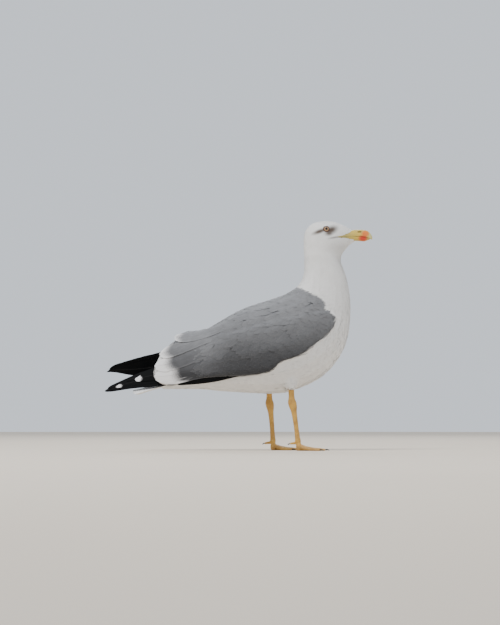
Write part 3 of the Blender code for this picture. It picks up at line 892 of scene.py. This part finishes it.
def skin_material():
    """Skin: the coat's own colours under the feathers, and scaly yellow legs."""
    graph = Graph("skin", 0.5, 0.4, subsurface=0.05)
    z = graph.split(graph.place())[2]
    fine = graph.plus(graph.cells(2300.0), 0.12)
    seams = graph.range(graph.math("MINIMUM", graph.cells(1150.0), fine), 0.0, 0.09)
    mottle = graph.noise(90.0, 5.0)
    leg = graph.layers(
        srgb(206, 160, 74),
        (graph.range(mottle, 0.35, 0.7), (178, 134, 66)),
        (graph.range(graph.noise(300.0), 0.55, 0.75, 0.0, 0.35), (222, 186, 112)),
        (graph.range(z, 0.013, 0.004, 0.0, 0.35), (150, 118, 78)),
    )
    leg = graph.shade(leg, graph.range(seams, 0.0, 1.0, 0.9, 1.0))
    coat = graph.shade(graph.attribute("coat", "Color"), graph.range(mottle, *PATCHES, 0.88, 0.96))
    graph.put(graph.shader.inputs["Roughness"], graph.range(mottle, *PATCHES, 0.42, 0.6))
    graph.bump(seams, 0.12, 0.6)
    return graph.colour(graph.mix(graph.range(z, 0.1105, 0.1085), coat, leg))


def make_skin(hull):
    """One skin for all the flesh: the body under its coat, with the bare legs and feet."""
    parts = [(hull.points - hull.normals * coat_depth(hull.points)[:, None], hull.faces)]
    parts += [make_leg(side) for side in SIDES]
    faces = []
    total = 0
    for points, own in parts:
        faces += [tuple(index + total for index in face) for face in own]
        total += len(points)
    points = np.concatenate([part[0] for part in parts])
    piece = new_piece("skin", points, faces)
    paint_coat(piece, coat_colour(points))
    nodes = [*FLESH, *both_sides("wing_", "thigh_", *LEG_PARTS)]
    finish_piece(piece, skin_material(), "leg_yellow", *nodes)


# ---------------------------------------------------------------- small feathers

# Where the head, neck, breast and belly part, and where the rump's own feathers begin.
HEAD_FLOOR = 352
NECK_FLOOR = 262
BREAST_REAR = 60
RUMP_FRONT = -112
RUMP_SPACING = 3.3
THIGH_SPACING = 2.4
EYE_CLEAR = (5.6, 5.3)
BILL_CLEAR = 2.0
# White and grey feathers: draws for each root, half width by the spacing, how soft their shading is.
WHITE_TRIES = 14
WHITE_HALF = 0.76
WHITE_SOFT = 0.94
GREY_TRIES = 30
GREY_HALF = 0.98
GREY_SOFT = 0.9
STEEPEST = 0.86
# The lift over the hull at root and tip.
HEAD_LIFT = (-0.5, 0.12)
WHITE_LIFT = (-1.3, 0.22)
MANTLE_LIFT = (-0.9, 0.6)
COVERT_LIFT = (-1.3, 0.2)
# The bill's root on the side view: its upper edge and its lower edge, each as x and z.
BILL_UPPER_EDGE = ((171, 179, 188, 198, 202, 206), (381, 385.8, 388.8, 391.6, 394.5, 397))
BILL_LOWER_EDGE = ((170, 178, 190, 200, 208), (383.4, 382.8, 381.8, 380.6, 379.4))


def off_eye(points, share=1.0):
    """Places that lie clear of the eye."""
    ahead, above = (points[:, [0, 2]] - EYE_AT[[0, 2]]).T
    eye = np.hypot(ahead / EYE_CLEAR[0], above / EYE_CLEAR[1])
    return (eye > share) | (points[:, 2] < HEAD_LOW)


def off_bill(points):
    """Places that lie clear of the bill."""
    x, y, z = points.T
    between = (z < np.interp(x, *BILL_UPPER_EDGE)) & (z > np.interp(x, *BILL_LOWER_EDGE))
    return ~((x > 171) & between & (np.abs(y) > BILL_CLEAR)) & (x < 206)


def coat_spacing(points):
    """Distance between neighbouring feathers' roots: least on the face, most on the rump."""
    x, _, z = points.T
    spacing = np.interp(z, (120, 200, 290, 340, 372, 400), (2.6, 2.45, 2.0, 1.55, 1.1, 1.0))
    spacing = spacing * np.interp(x + (z < 350) * -300, (168, 200), (1.0, 0.72))
    thigh = (z < 118) & (z > 104) & (x > 20)
    rump = (x < RUMP_FRONT) & (z > 150)
    return np.where(thigh, THIGH_SPACING, np.where(rump, RUMP_SPACING, spacing))


def white_coat(points):
    """Places where white feathers grow: their tips stay clear of the grey, the eye and the bill."""
    x, y, z = points.T
    out = np.abs(y)
    hidden = (x < 90) & (out < 8) & (z > 190)
    rump = (x < RUMP_FRONT) & (out < np.interp(x, (-134, -114), (24, 39)))
    rear = (x < -118) & (z > 119) & ~rump
    rim = (x < -104) & (out > 25) & (z > 114.5) & (z < 135)
    length = 4.3 * coat_spacing(points)
    reach = body_flow(points) * length[:, None]
    root = grey_depth(points)
    tip = grey_depth(points + reach)
    clear = rump | ((root < 1.5) & (tip < np.where(tip - root > 0.5 * length, 4.5, 0.8)))
    for share, part in ((1.0, 0.0), (0.94, 0.5), (0.92, 1.0)):
        clear &= off_eye(points + part * reach, share)
    return clear & off_bill(points) & ~hidden & ~rear & ~rim


def make_white_coat(hull):
    """The white body plumage, parted into pieces by the region it covers."""
    roots = hull.scatter(coat_spacing, white_coat, WHITE_TRIES)
    _, normal = hull.nearest(roots)
    roots = roots[np.abs((normal * body_flow(roots)).sum(-1)) < STEEPEST]
    x, y, z = roots.T
    body = z <= NECK_FLOOR
    neck = (z <= HEAD_FLOOR) & ~body
    regions = (
        ("head", z > HEAD_FLOOR, TUFT, HEAD_LIFT, "plumage_on_flesh"),
        ("neck", neck, TUFT, WHITE_LIFT, "plumage_on_flesh"),
        ("breast", body & (x > BREAST_REAR), PLUME, WHITE_LIFT, "plumage_on_flesh"),
        ("belly", body & (x <= BREAST_REAR), PLUME, WHITE_LIFT, "plumage_white"),
    )
    material = plumage_material("white_plumage", 9.0, vary=0.35)
    for region, inside, form, lift, slot in regions:
        halves = {"_right": y < 0, "_left": y >= 0}
        if region == "neck":
            halves = {"": neck}
        for ending, half in halves.items():
            own = roots[inside & half]
            spacing = coat_spacing(own)
            length = spacing * np.interp(own[:, 2], (120, 300, 370, 390), (5.6, 5.6, 5.2, 4.8))
            length = length * RANDOM.uniform(0.8, 1.2, len(own))
            piece = lay_feathers(
                "plumage_" + region + ending, hull, own, body_flow, length, spacing * WHITE_HALF, lift,
                form, WHITE_SOFT, coat_colour, by_vertex=True
            )
            finish_piece(piece, material, slot)


def wing_spacing(points):
    """Roots' distance on the back and wings: closest along the front edge."""
    front = np.clip(grey_depth(points) + np.maximum(0, 60 - points[:, 0]) * 0.3, 0, 80)
    return np.interp(front, (0, 20, 60), (2.6, 3.5, 4.8))


def wing_length(points):
    """The length of the back's and wings' small feathers."""
    spacing = wing_spacing(points)
    return spacing * np.interp(spacing, (2.6, 4.8), (5.0, 6.6))


def grey_coat(points):
    """Places where grey feathers grow: under the white ones' tips, and with their own tips in the grey."""
    x, y, z = points.T
    length = wing_length(points)
    root = grey_depth(points)
    tip = grey_depth(points + wing_flow(points) * length[:, None])
    inside = (root > np.where(tip - root > 0.5 * length, -4.0, 0.8)) & (tip > -1.5)
    top = (np.abs(y) < 37) & (z > 196)
    rear = np.where(top, -92, -56 - 0.1 * (z - 150))
    return inside & (x > rear) & (z > 118)


def make_grey_coat(hull):
    """Mantle and shoulder feathers over the wing coverts."""
    roots = hull.scatter(wing_spacing, grey_coat, GREY_TRIES)
    material = plumage_material("grey_plumage", 10.0, shaft=0.05, fringe=0.05, roughness=0.68)
    shoulder = above_shoulder(roots) > 0
    right = roots[:, 1] < 0
    regions = {
        "mantle_feathers": (shoulder, MANTLE_LIFT),
        "coverts_right": (~shoulder & right, COVERT_LIFT),
        "coverts_left": (~shoulder & ~right, COVERT_LIFT),
    }
    for name, (inside, lift) in regions.items():
        own = roots[inside]
        length = wing_length(own) * RANDOM.uniform(0.85, 1.15, len(own))
        half = wing_spacing(own) * GREY_HALF
        piece = lay_feathers(name, hull, own, wing_flow, length, half, lift, VANE, GREY_SOFT, grey_with_painted_shade)
        finish_piece(piece, material, "mantle_grey")


# ---------------------------------------------------------------- long feathers of wing and tail

LONG_ROWS = 1 - (1 - np.linspace(0, 1, 34)) ** 1.5
LONG_ACROSS = np.linspace(-1, 1, 9)
MIDDLE_ROW = 20
LONG_SOFT = 0.35


def feather_line(keys, end=1.0, fine=200):
    """Points of a feather's centre line, one for each row, along a curve through the keys."""
    return spline(keys, fine)[(LONG_ROWS * end * (fine - 1)).astype(int)]


def headings(centre):
    """The directions along centre lines."""
    return unit(np.gradient(centre, axis=1))


def round_end(at, start, reach):
    """1 along a feather as far as its round tip, which it narrows to."""
    return np.sqrt(np.clip(1 - (np.maximum(at - start, 0) / reach) ** 2, 0.02, 1))


def broad_outline(at):
    """Half width along a broad, round-ended feather, as a share of its widest."""
    return (0.55 + 0.45 * smooth_step(at, 0.0, 0.35)) * round_end(at, 0.84, 0.165)


def pointed_outline(at):
    """Half width along a primary, which narrows to a blunt point."""
    return (1 - 0.35 * smooth_step(at, 0.45, 1.0)) * round_end(at, 0.86, 0.145)


def long_vanes(name, finish, centre, normals, sideways, half, outline, lift, white, edges, tone):
    """Long closed vanes along given centre lines, each with its own tile on the baking map.

    half (width), white (the pale tip) and edges (how much farther it runs there) are millimetres, for
    each feather or for all. finish is what finish_piece() takes.
    """
    count, rows, across = len(centre), LONG_ROWS, LONG_ACROSS
    half, white, edges = (np.broadcast_to(part, count)[:, None, None] for part in (half, white, edges))
    nicks = np.ones((count, len(rows), len(across)))
    for feather in range(count):
        for edge in (0, -1):
            for place in RANDOM.uniform(0.35, 0.95, 2):
                depth = RANDOM.uniform(0.04, 0.16)
                nicks[feather, :, edge] -= depth * np.clip(1 - np.abs(rows - place) / 0.02, 0, 1)
    spread = (half * outline(rows)[:, None] * across * nicks)[..., None]
    grid = centre[:, :, None] + sideways[:, :, None] * spread
    up = np.broadcast_to(normals[:, :, None], grid.shape)
    camber = 0.09 * half * across**2
    rib = 0.35 * np.clip(1 - np.abs(across) / 0.3, 0, 1)
    lift = np.broadcast_to(lift, (count, len(rows)))
    grid = grid + up * (lift[..., None] - camber + rib)[..., None]
    bulge = -0.012 * across**2 * (rows[:, None] > 0.99) + 0.01 * across**2 * (rows[:, None] < 0.01)
    length = np.linalg.norm(np.diff(centre, axis=1), axis=-1).sum(1)
    far = length[:, None, None]
    grid = grid + headings(centre)[:, :, None] * (bulge * far)[..., None]
    share = np.broadcast_to(rows[:, None] + bulge, nicks.shape)
    uv = np.empty((*share.shape, 2))
    uv[..., 0] = (np.arange(count)[:, None, None] + 0.5 + 0.44 * across) / count
    uv[..., 1] = 0.03 + 0.93 * share
    piece = many_vanes(name, grid, uv, up, LONG_SOFT)
    past_tip = (share - 1) * far + white + edges * across**2
    chance = RANDOM.random(count)
    paint_vanes(piece, tone(grid.reshape(-1, 3)), share, across, length, chance, past_tip)
    finish_piece(piece, *finish)


def steady(tone):
    """A colour function that gives one colour everywhere."""
    return lambda points: np.broadcast_to(tone, (len(points), 3))


def rising(root, tips):
    """Heights along feathers, which come up from under the coat at the root."""
    return root + (tips[:, None] - root) * LONG_ROWS**0.4


# Tertials and secondaries over the wing's rear: keys, half width, white tip, its reach along the edges,
# and lift.
REAR_FEATHERS = (
    ((20, 150), (-36, 143), (-84, 132), (-138, 121.5), 8.0, 36, 4, 0.1),
    ((0, 172), (-50, 155), (-100, 137), (-152, 131), 13.5, 38, 4, 0.9),
    ((0, 203), (-50, 184), (-100, 161), (-151, 149), 13.0, 24, 10, 1.8),
    ((-10, 218), (-55, 203), (-100, 184), (-142, 170), 12.0, 12, 9, 2.8),
    ((-14, 226), (-50, 212), (-84, 200.5), (-115, 200), 10.0, 5, 6, 3.6),
)
# The folded wing's cross-sections towards the rear: x, middle height, half height, half width.
WING_SECTIONS = (
    (-174, 124, 42, 22), (-148, 128, 47, 32), (-130, 139, 57, 38), (-111, 148, 66, 44.5),
    (-78, 150, 68, 52.5), (-49, 156, 72, 59.5), (-25, 163, 80, 64), (4, 169, 89, 67.5), (40, 174, 94, 70),
)
WING_ROUND = 2.25
SLOPE_STEP = 2.0
REAR_ROOT = -8.0


def wing_side(x, z):
    """How far out the folded wing's surface lies at places on the side view."""
    keys = np.array(WING_SECTIONS).T
    middle, tall, half = (np.interp(x, keys[0], row) for row in keys[1:])
    share = np.clip(np.abs(z - middle) / tall, 0, 0.985)
    return half * (1 - share**WING_ROUND) ** (1 / WING_ROUND)


def wing_frame(line, sign):
    """Points and outward normals on the folded wing along a line of the side view."""
    x, z = line.T
    step = SLOPE_STEP
    slope_x = (wing_side(x + step, z) - wing_side(x - step, z)) / (2 * step)
    slope_z = (wing_side(x, z + step) - wing_side(x, z - step)) / (2 * step)
    normals = unit(np.stack([-slope_x, np.ones(len(x)), -slope_z], -1))
    points = np.stack([x, wing_side(x, z), z], -1)
    mirror = np.array([1, sign, 1])
    return points * mirror, normals * mirror


def eased(values):
    """A smoother run of values along a feather."""
    fit = np.polyfit(LONG_ROWS, values, 3)
    return np.stack([np.polyval(column, LONG_ROWS) for column in fit.T], -1)


def on_wing(lines, sign):
    """Centre lines, normals and sideways directions of feathers along the folded wing's surface."""
    frames = [wing_frame(feather_line(keys), sign) for keys in lines]
    centre = np.array([eased(points) for points, _ in frames])
    normals = unit(np.array([eased(outward) for _, outward in frames]))
    return centre, normals, unit(np.cross(headings(centre), normals))


def make_rear_feathers():
    """The tertials and secondaries of both wings."""
    material = plumage_material("tertials", 9.0, shaft=0.2, fringe=0.1, roughness=0.62, fade=12.0)
    half, white, edges, tips = np.array([feather[4:] for feather in REAR_FEATHERS]).T
    for side, sign in SIDES.items():
        lines = on_wing([feather[:4] for feather in REAR_FEATHERS], sign)
        long_vanes(
            "tertials_" + side, (material, "mantle_grey"), *lines, half, broad_outline,
            rising(REAR_ROOT, tips), white, edges, grey_with_painted_shade
        )


# Long feathers that close the back between the wings: their line on the side view, and each one's place
# across and lift.
BACK_LINE = ((-60, 206), (-92, 204), (-116, 194), (-141, 171))
BACK_FEATHERS = ((25.0, -0.6), (-25.0, -0.3), (9.0, 2.2), (-8.0, 3.2))
BACK_HALF = 12.0
BACK_ROOT = -4.0
BACK_WHITE = 8.0
BACK_EDGES = 7.0


def make_back_feathers():
    """The four feathers between the wings."""
    across, tips = np.array(BACK_FEATHERS).T
    x, z = feather_line(BACK_LINE).T
    y = across[:, None] * (1.2 - 0.3 * LONG_ROWS)
    centre = np.stack(np.broadcast_arrays(x, y, z - 0.009 * y**2), -1)
    along = headings(centre)
    sideways = unit(np.cross(along, centre * (0, 0.02, 0) + (0, 0, 1)))
    finish = (bpy.data.materials["tertials"], "mantle_grey")
    long_vanes(
        "back_feathers", finish, centre, np.cross(sideways, along), sideways, BACK_HALF, broad_outline,
        rising(BACK_ROOT, tips), BACK_WHITE, BACK_EDGES, grey_with_painted_shade
    )


# The folded wing tips: the lower and upper edge (x, z, y) of the sheet that each side's primaries lie in.
WING_TIPS = {
    "right": (
        ((-96, 124, -36), (-122, 119, -30), (-156, 114.5, -25),
         (-191, 110, -19), (-225, 104, -12), (-243, 102, -9)),
        ((-96, 161, -18), (-122, 154, -15), (-156, 145, -12),
         (-191, 133, -8), (-225, 119, -5), (-242, 111, -5)),
    ),
    "left": (
        ((-96, 142, 30), (-122, 140, 26), (-156, 136, 24), (-191, 134, 17), (-224, 138, 8), (-240, 139, 4)),
        ((-96, 183, 9), (-122, 178, 7), (-156, 171, 7), (-191, 163, 6), (-224, 154, 3), (-240, 143, 2)),
    ),
}
# Primaries from the longest, which lies inmost: end, place across at root and tip, half width, white tip.
PRIMARIES = (
    (1.00, 0.36, 0.46, 0.42, 1.0),
    (0.93, 0.60, 0.72, 0.40, -9.0),
    (0.86, 0.30, 0.34, 0.38, -9.0),
    (0.775, 0.45, 0.47, 0.34, 11.0),
    (0.66, 0.68, 0.72, 0.34, -9.0),
    (0.575, 0.54, 0.58, 0.34, 11.0),
    (0.40, 0.70, 0.70, 0.34, -9.0),
)
# How much farther out each primary lies than the last, how much less far its white runs along the edges,
# the white tip of a feather that has none, and the fine steps along the wing tips.
PRIMARY_STEP = 0.9
PRIMARY_EDGES = -4.0
ALL_DARK = -9.0
TIP_FINE = 400


def make_primaries():
    """The black primaries of both folded wing tips."""
    material = plumage_material("wing_tip", 10.0, shaft=0.25, sheen=0.0, roughness=0.62, specular=0.07)
    lift = PRIMARY_STEP * np.arange(len(PRIMARIES))[:, None]
    white = np.array([feather[4] for feather in PRIMARIES])
    for side, sign in SIDES.items():
        centre, rise, wide = [], [], []
        for end, root_place, tip_place, share, _ in PRIMARIES:
            lower, upper = (feather_line(keys, end, TIP_FINE)[:, [0, 2, 1]] for keys in WING_TIPS[side])
            place = (root_place + (tip_place - root_place) * LONG_ROWS)[:, None]
            centre.append(lower * (1 - place) + upper * place)
            rise.append(unit(upper - lower))
            wide.append(share * np.linalg.norm(upper - lower, axis=1))
        centre, wide = np.array(centre), np.array(wide)
        along = headings(centre)
        normals = unit(np.cross(along, np.array(rise)))
        normals = normals * np.sign((normals[..., 1:2] * sign).mean())
        half = wide[:, MIDDLE_ROW]
        sideways = np.cross(along, normals) * (wide / half[:, None])[..., None]
        long_vanes(
            "flight_feathers_" + side, (material, "wingtip_black", "primaries_" + side), centre, normals,
            sideways, half, pointed_outline, lift, white, PRIMARY_EDGES, steady(BLACK)
        )


# The dark edge of the primaries under the folded wing: its line, and for each feather how much lower it
# lies and how much farther back it starts.
EDGE_LINE = ((16, 137), (-40, 127.5), (-80, 122.5), (-112, 119.5))
EDGE_SHIFTS = ((0.0, 0.0), (3.5, 12.0))
EDGE_HALF = (3.5, 3.2)
EDGE_ROOT = -9.0
EDGE_RISE = 6.0


def make_primary_edge():
    """The dark edge of the primaries that shows under each folded wing."""
    finish = (bpy.data.materials["wing_tip"], "wingtip_black")
    lift = EDGE_ROOT + EDGE_RISE * smooth_step(LONG_ROWS, 0.02, 0.4)
    keys = []
    for drop, later in EDGE_SHIFTS:
        shift = np.full((len(EDGE_LINE), 2), (0.0, drop))
        shift[0, 0] = later
        keys.append(np.array(EDGE_LINE) - shift)
    for side, sign in SIDES.items():
        long_vanes(
            "primary_edge_" + side, finish, *on_wing(keys, sign), EDGE_HALF, pointed_outline, lift,
            ALL_DARK, 0.0, steady(BLACK)
        )


TAIL_TOP = ((-100, 127), (-140, 119), (-174, 111.5), (-192, 107.5))
TAIL_FEATHERS = 12
TAIL_HALF = 8.5


def make_tail():
    """Twelve white tail feathers, the middle pair on top."""
    x, z = feather_line(TAIL_TOP).T
    place = (np.arange(TAIL_FEATHERS) - (TAIL_FEATHERS - 1) / 2)[:, None]
    out = np.abs(place)
    y = place * (1.6 + 3.7 * LONG_ROWS)
    centre = np.stack([x + out * 0.5 * LONG_ROWS, y, z - 5 * (y / 33) ** 2 - 0.35 * out], -1)
    normals = unit(np.stack([0 * y - 0.2, y / 90, 1 + 0 * y], -1))
    material = plumage_material("tail_plumage", 9.0, shaft=0.12)
    long_vanes(
        "tail_feathers", (material, "plumage_white", "tail"), centre, normals,
        np.cross(headings(centre), normals), TAIL_HALF, broad_outline, 0.0, NO_TIP, 0.0, steady(WHITE)
    )


# ---------------------------------------------------------------- bill

# Upper mandible: (x, top, lower edge, half width). Lower mandible: (x, upper edge, bottom, half width).
UPPER_BILL = (
    (170, 382.4, 381.2, 20.0), (178, 385.6, 382.8, 18.0), (188, 390.0, 383.5, 13.9),
    (198, 395.6, 384.2, 10.3), (205, 396.9, 384.6, 8.2), (213, 397.2, 384.8, 7.3),
    (220, 397.2, 384.4, 6.6), (227, 396.2, 383.1, 5.7), (232, 393.8, 381.7, 4.6),
    (236, 389.6, 380.5, 3.2), (238.7, 384.6, 379.3, 1.2),
)
LOWER_BILL = (
    (171, 381.4, 380.4, 19.8), (179, 382.7, 380.4, 17.8), (188, 383.3, 378.6, 13.8),
    (198, 384.0, 377.8, 10.2), (207, 384.4, 377.2, 7.6), (215, 384.4, 376.7, 6.6),
    (221, 384.0, 376.2, 5.9), (225, 383.2, 376.1, 5.2), (230, 381.8, 378.0, 4.0), (234, 380.7, 379.2, 1.7),
)
NOSTRIL = (215.5, 392.6)


def horn_rings(keys, upper):
    """Rings of one mandible: an arch from edge to edge and a shallow hollow across."""
    x, high, low, half = spline(keys, 120).T[..., None]
    arch = np.linspace(0, math.pi, 45)
    flat = np.linspace(1, -1, 13)[1:-1]
    width = np.concatenate([-np.sign(np.cos(arch)) * np.abs(np.cos(arch)) ** 0.8, flat])
    height = np.concatenate([np.sin(arch) ** 0.85, 0.10 * (1 - flat**2)])
    top, bottom = (high, low) if upper else (low, high)
    rings = np.stack(np.broadcast_arrays(x, half * width, bottom + (top - bottom) * height), -1)
    return rings if upper else rings[:, ::-1]


def bill_material():
    """Horn: yellow, greener at the base, orange and red before a pale tip, with a nostril painted dark as
    shade inside its opening.
    """
    graph = Graph("bill_horn", 0.34, 0.5, coat=0.12, subsurface=0.06)
    streak = graph.noise(150.0, 4.0, stretch=(0.35, 1.0, 1.6))
    x, _, z = graph.split(graph.place())
    base, _, ridge = to_frame((190, 0, 396.2))
    tip = to_frame((231, 0, 0))[0]
    colour = graph.layers(
        srgb(214, 184, 74),
        (graph.range(streak, *PATCHES), (192, 168, 80)),
        (graph.range(x, base + 0.016, base - 0.004, 0, 0.7), (150, 144, 92)),
        (graph.range(z, ridge - 0.003, ridge + 0.001, 0, 0.3), (160, 150, 88)),
        (graph.spot((226, 0, 389.8), (7.5, 60, 6.2)), (222, 118, 40)),
        (graph.range(x, tip, tip + 0.004, 0, 0.85), (204, 196, 132)),
        (graph.spot((221.5, 0, 381.0), (8.8, 60, 6.0)), (208, 56, 26)),
        # The nostril's dark is painted shade inside its opening.
        (graph.spot((NOSTRIL[0], 0, NOSTRIL[1]), (4.0, 60, 0.95), 0.3, 0.0), (44, 38, 26)),
    )
    graph.put(graph.shader.inputs["Roughness"], graph.range(streak, *PATCHES, 0.28, 0.45))
    graph.bump(graph.plus(streak, graph.times(graph.noise(900.0), 0.3)), 0.15, 0.5)
    return graph.colour(colour)


def make_bill():
    """Both mandibles, with nostrils pressed into the upper one."""
    material = bill_material()
    rings = horn_rings(UPPER_BILL, True)
    x = (rings[..., 0] - NOSTRIL[0]) / 4.0
    z = (rings[..., 2] - NOSTRIL[1] - 0.12 * (rings[..., 0] - NOSTRIL[0])) / 0.9
    hole = np.exp(-(x**4) - z**4)
    rim = np.exp(-((np.hypot(x, z) - 1.5) / 0.4) ** 2)
    rings[..., 1] -= np.sign(rings[..., 1]) * (1.7 * hole - 0.16 * rim) * (np.abs(rings[..., 1]) > 1)
    finish_piece(tube_piece("upper_mandible", rings), material, "bill_yellow", "bill_upper")
    rings = horn_rings(LOWER_BILL, False)
    finish_piece(tube_piece("lower_mandible", rings), material, "bill_yellow", "bill_lower")


# ---------------------------------------------------------------- eyes and claws

def eye_material():
    """The eye: a pale brown iris with rays, darker at both rims, round a black pupil."""
    graph = Graph("eyeball", 0.1, 0.35, coat=0.5)
    radius = graph.split(graph.attribute("iris"))[0]
    rays = graph.noise(1.0, vector=graph.attribute("rays"))
    colour = graph.layers(
        srgb(196, 162, 124),
        (graph.range(rays, *PATCHES), (158, 122, 90)),
        (graph.range(radius, 2.9, 2.1), (120, 92, 70)),
        (graph.range(radius, 3.7, 4.5), (84, 58, 42)),
        (graph.range(radius, 2.15, 1.95), (6, 6, 7)),
        (graph.range(radius, 4.5, 4.9), (26, 18, 15)),
    )
    return graph.colour(colour)


def lid_material():
    """The dark brown skin of the ring round the eye, in small folds."""
    graph = Graph("orbital_ring", 0.42, 0.45, subsurface=0.05)
    graph.bump(graph.cells(1700.0), 0.2, 0.7)
    patches = graph.range(graph.noise(500.0), 0.35, 0.7)
    return graph.colour(graph.mix(patches, srgb(84, 52, 40), srgb(54, 36, 30)))


# The brow cuts the eyeball off flat at BROW_EDGE above its middle.
EYE_TURNS = 64
LID_TURNS = 90
BROW_EDGE = 4.15


def make_eyes(hull):
    """Eyeballs, of which only the cap that shows is round, and the rings of skin round them."""
    ball = eye_material()
    lid = lid_material()
    polar = np.linspace(0.02, 0.73, 36)
    turns = round_turns(EYE_TURNS)
    radius = np.append(EYE_RADIUS * np.sin(polar), (4.9, 4.8, 4.0, 1.5))
    out = np.append(EYE_RADIUS * np.cos(polar), (4.0, 0.0, -2.5, -3.5))
    out = out + 0.45 * np.clip(1 - (radius / 4.6) ** 2, 0, 1) * (out > 0)
    for side, sign in SIDES.items():
        x = EYE_AT[0] + radius[:, None] * np.cos(turns)
        z = EYE_AT[2] + np.minimum(radius[:, None] * np.sin(turns), BROW_EDGE)
        y = sign * (EYE_AT[1] + out[:, None]) + 0 * x
        rings = np.stack([x, y, z], -1)
        piece = tube_piece("eyeball_" + side, rings if sign < 0 else rings[:, ::-1])
        far = np.repeat(radius, EYE_TURNS)
        turn = np.tile(turns if sign < 0 else turns[::-1], len(radius))
        paint(piece, "iris", np.stack([far, turn, 0 * turn], -1))
        paint(piece, "rays", np.stack([7 * np.cos(turn), 7 * np.sin(turn), far * 0.5], -1))
        finish_piece(piece, ball, "eye_amber", "eye_" + side)
        make_lid(hull, side, lid)


def make_lid(hull, side, material):
    """The bare ring of skin round the eye, from the eyeball out under the feathers, heavier at the brow."""
    sign = SIDES[side]
    share = np.linspace(0, 1, 12)
    rings = []
    for turn in round_turns(LID_TURNS):
        brow = smooth_step(math.sin(turn), 0.0, 0.8)
        corner = abs(math.cos(turn)) ** 3
        inner = 4.5 - 1.1 * brow + 0.35 * corner
        outer = 6.0 + 0.4 * corner
        ahead, above = math.cos(turn), math.sin(turn)
        edge = hull.width_at(sign, EYE_AT[0] + outer * ahead, EYE_AT[2] + outer * above) - 0.5
        ball = EYE_AT[1] + math.sqrt(EYE_RADIUS**2 - inner**2) + 0.1
        crest = (0.55 + 0.6 * brow) * np.sin(math.pi * share**0.7)
        y = ball + (edge - ball) * smooth_step(share, 0, 1) + crest
        y = sign * np.append(y, (edge - 1.5, ball - 1.5))
        out = np.append(inner + (outer - inner) * share, (outer, inner))
        rings.append(np.stack([EYE_AT[0] + out * ahead, y, EYE_AT[2] + out * above], -1))
    rings = np.array(rings)
    faces = tube_faces(*rings.shape[:2], closed=True)
    if sign < 0:
        faces = [face[::-1] for face in faces]
    piece = new_piece("orbital_ring_" + side, rings.reshape(-1, 3), faces)
    finish_piece(piece, material, "plumage_on_flesh")


def make_claws():
    """The claws, rounded from their solids, as one piece for each foot."""
    graph = Graph("claw_horn", 0.36, 0.45)
    worn = graph.noise(420.0, 4.0)
    graph.bump(worn, 0.2, 0.6)
    material = graph.colour(graph.mix(graph.range(worn, 0.4, 0.75), srgb(34, 28, 26), srgb(72, 60, 52)))
    for side in SIDES:
        nodes = [f"claw_{side}_{toe}" for toe in ("inner", "middle", "outer", "hind")]
        rough = welded(node_meshes(nodes))
        rough.modifiers.new("round", "SUBSURF").levels = 2
        finish_piece(new_piece("claws_of_" + side, *taken_from(rough)), material, "claw_black", *nodes)


# ---------------------------------------------------------------- floor, light and camera

def make_stage():
    """A plain pale floor and a plain sky."""
    graph = Graph("floor", 0.85, 0.2)
    graph.bump(graph.noise(60.0), 0.4, 0.3)
    material = graph.colour(graph.mix(graph.noise(1.3), srgb(222, 211, 195), srgb(214, 203, 188)))
    bpy.ops.mesh.primitive_circle_add(vertices=96, radius=6.0, fill_type="NGON")
    floor = bpy.context.object
    floor.name = "floor"
    floor.data.materials.append(material)
    world = bpy.data.worlds.new("studio")
    bpy.context.scene.world = world
    world.use_nodes = True
    sky = world.node_tree.nodes["Background"]
    sky.inputs["Color"].default_value = (0.86, 0.92, 1.0, 1)
    sky.inputs["Strength"].default_value = 0.95


# Soft round lights: place, size, power and colour. All of them point at the body's middle.
LIGHTS = {
    "key": ((-1.0, -1.3, 2.9), 1.4, 85, (1.0, 0.98, 0.95)),
    "fill": ((2.2, -1.9, 1.3), 2.0, 8, (0.95, 0.97, 1.0)),
    "back": ((0.3, 2.2, 2.4), 1.8, 30, (1.0, 1.0, 1.0)),
}
LIGHT_AIM = Vector((0.0, 0.0, 0.22))


def aimed(name, data, place, target):
    """A lamp or camera that looks from its place at the target."""
    obj = placed(name, data)
    obj.location = place
    obj.rotation_euler = (target - Vector(place)).to_track_quat("-Z", "Y").to_euler()
    return obj


def make_lights():
    """A key light above at the camera's left, a weak fill at its right and one behind the bird."""
    for name, (place, size, power, colour) in LIGHTS.items():
        data = bpy.data.lights.new(name, "AREA")
        data.shape = "DISK"
        data.size = size
        data.energy = power
        data.color = colour
        aimed(name, data, place, LIGHT_AIM).visible_camera = False


VIEW_DISTANCE = 3.0
VIEW_HEIGHT = 0.05
VIEW_CENTRE = np.array([18.0, 0.0, 247.5])
FRAME_TALL = 1.125


def make_camera():
    """A low camera square to the bird's right side. Its frame is as tall there as the photo's."""
    target = Vector(to_frame(VIEW_CENTRE))
    place = Vector((target.x, -VIEW_DISTANCE, VIEW_HEIGHT))
    data = bpy.data.cameras.new("camera")
    data.lens = data.sensor_width * (target - place).length / FRAME_TALL
    bpy.context.scene.camera = aimed("camera", data, place, target)


make_skin(make_hull())
HULL = make_hull("bill_upper", "bill_lower")
make_white_coat(HULL)
make_grey_coat(HULL)
make_rear_feathers()
make_back_feathers()
make_primaries()
make_primary_edge()
make_tail()
make_bill()
make_eyes(HULL)
make_claws()
make_stage()
make_lights()
make_camera()
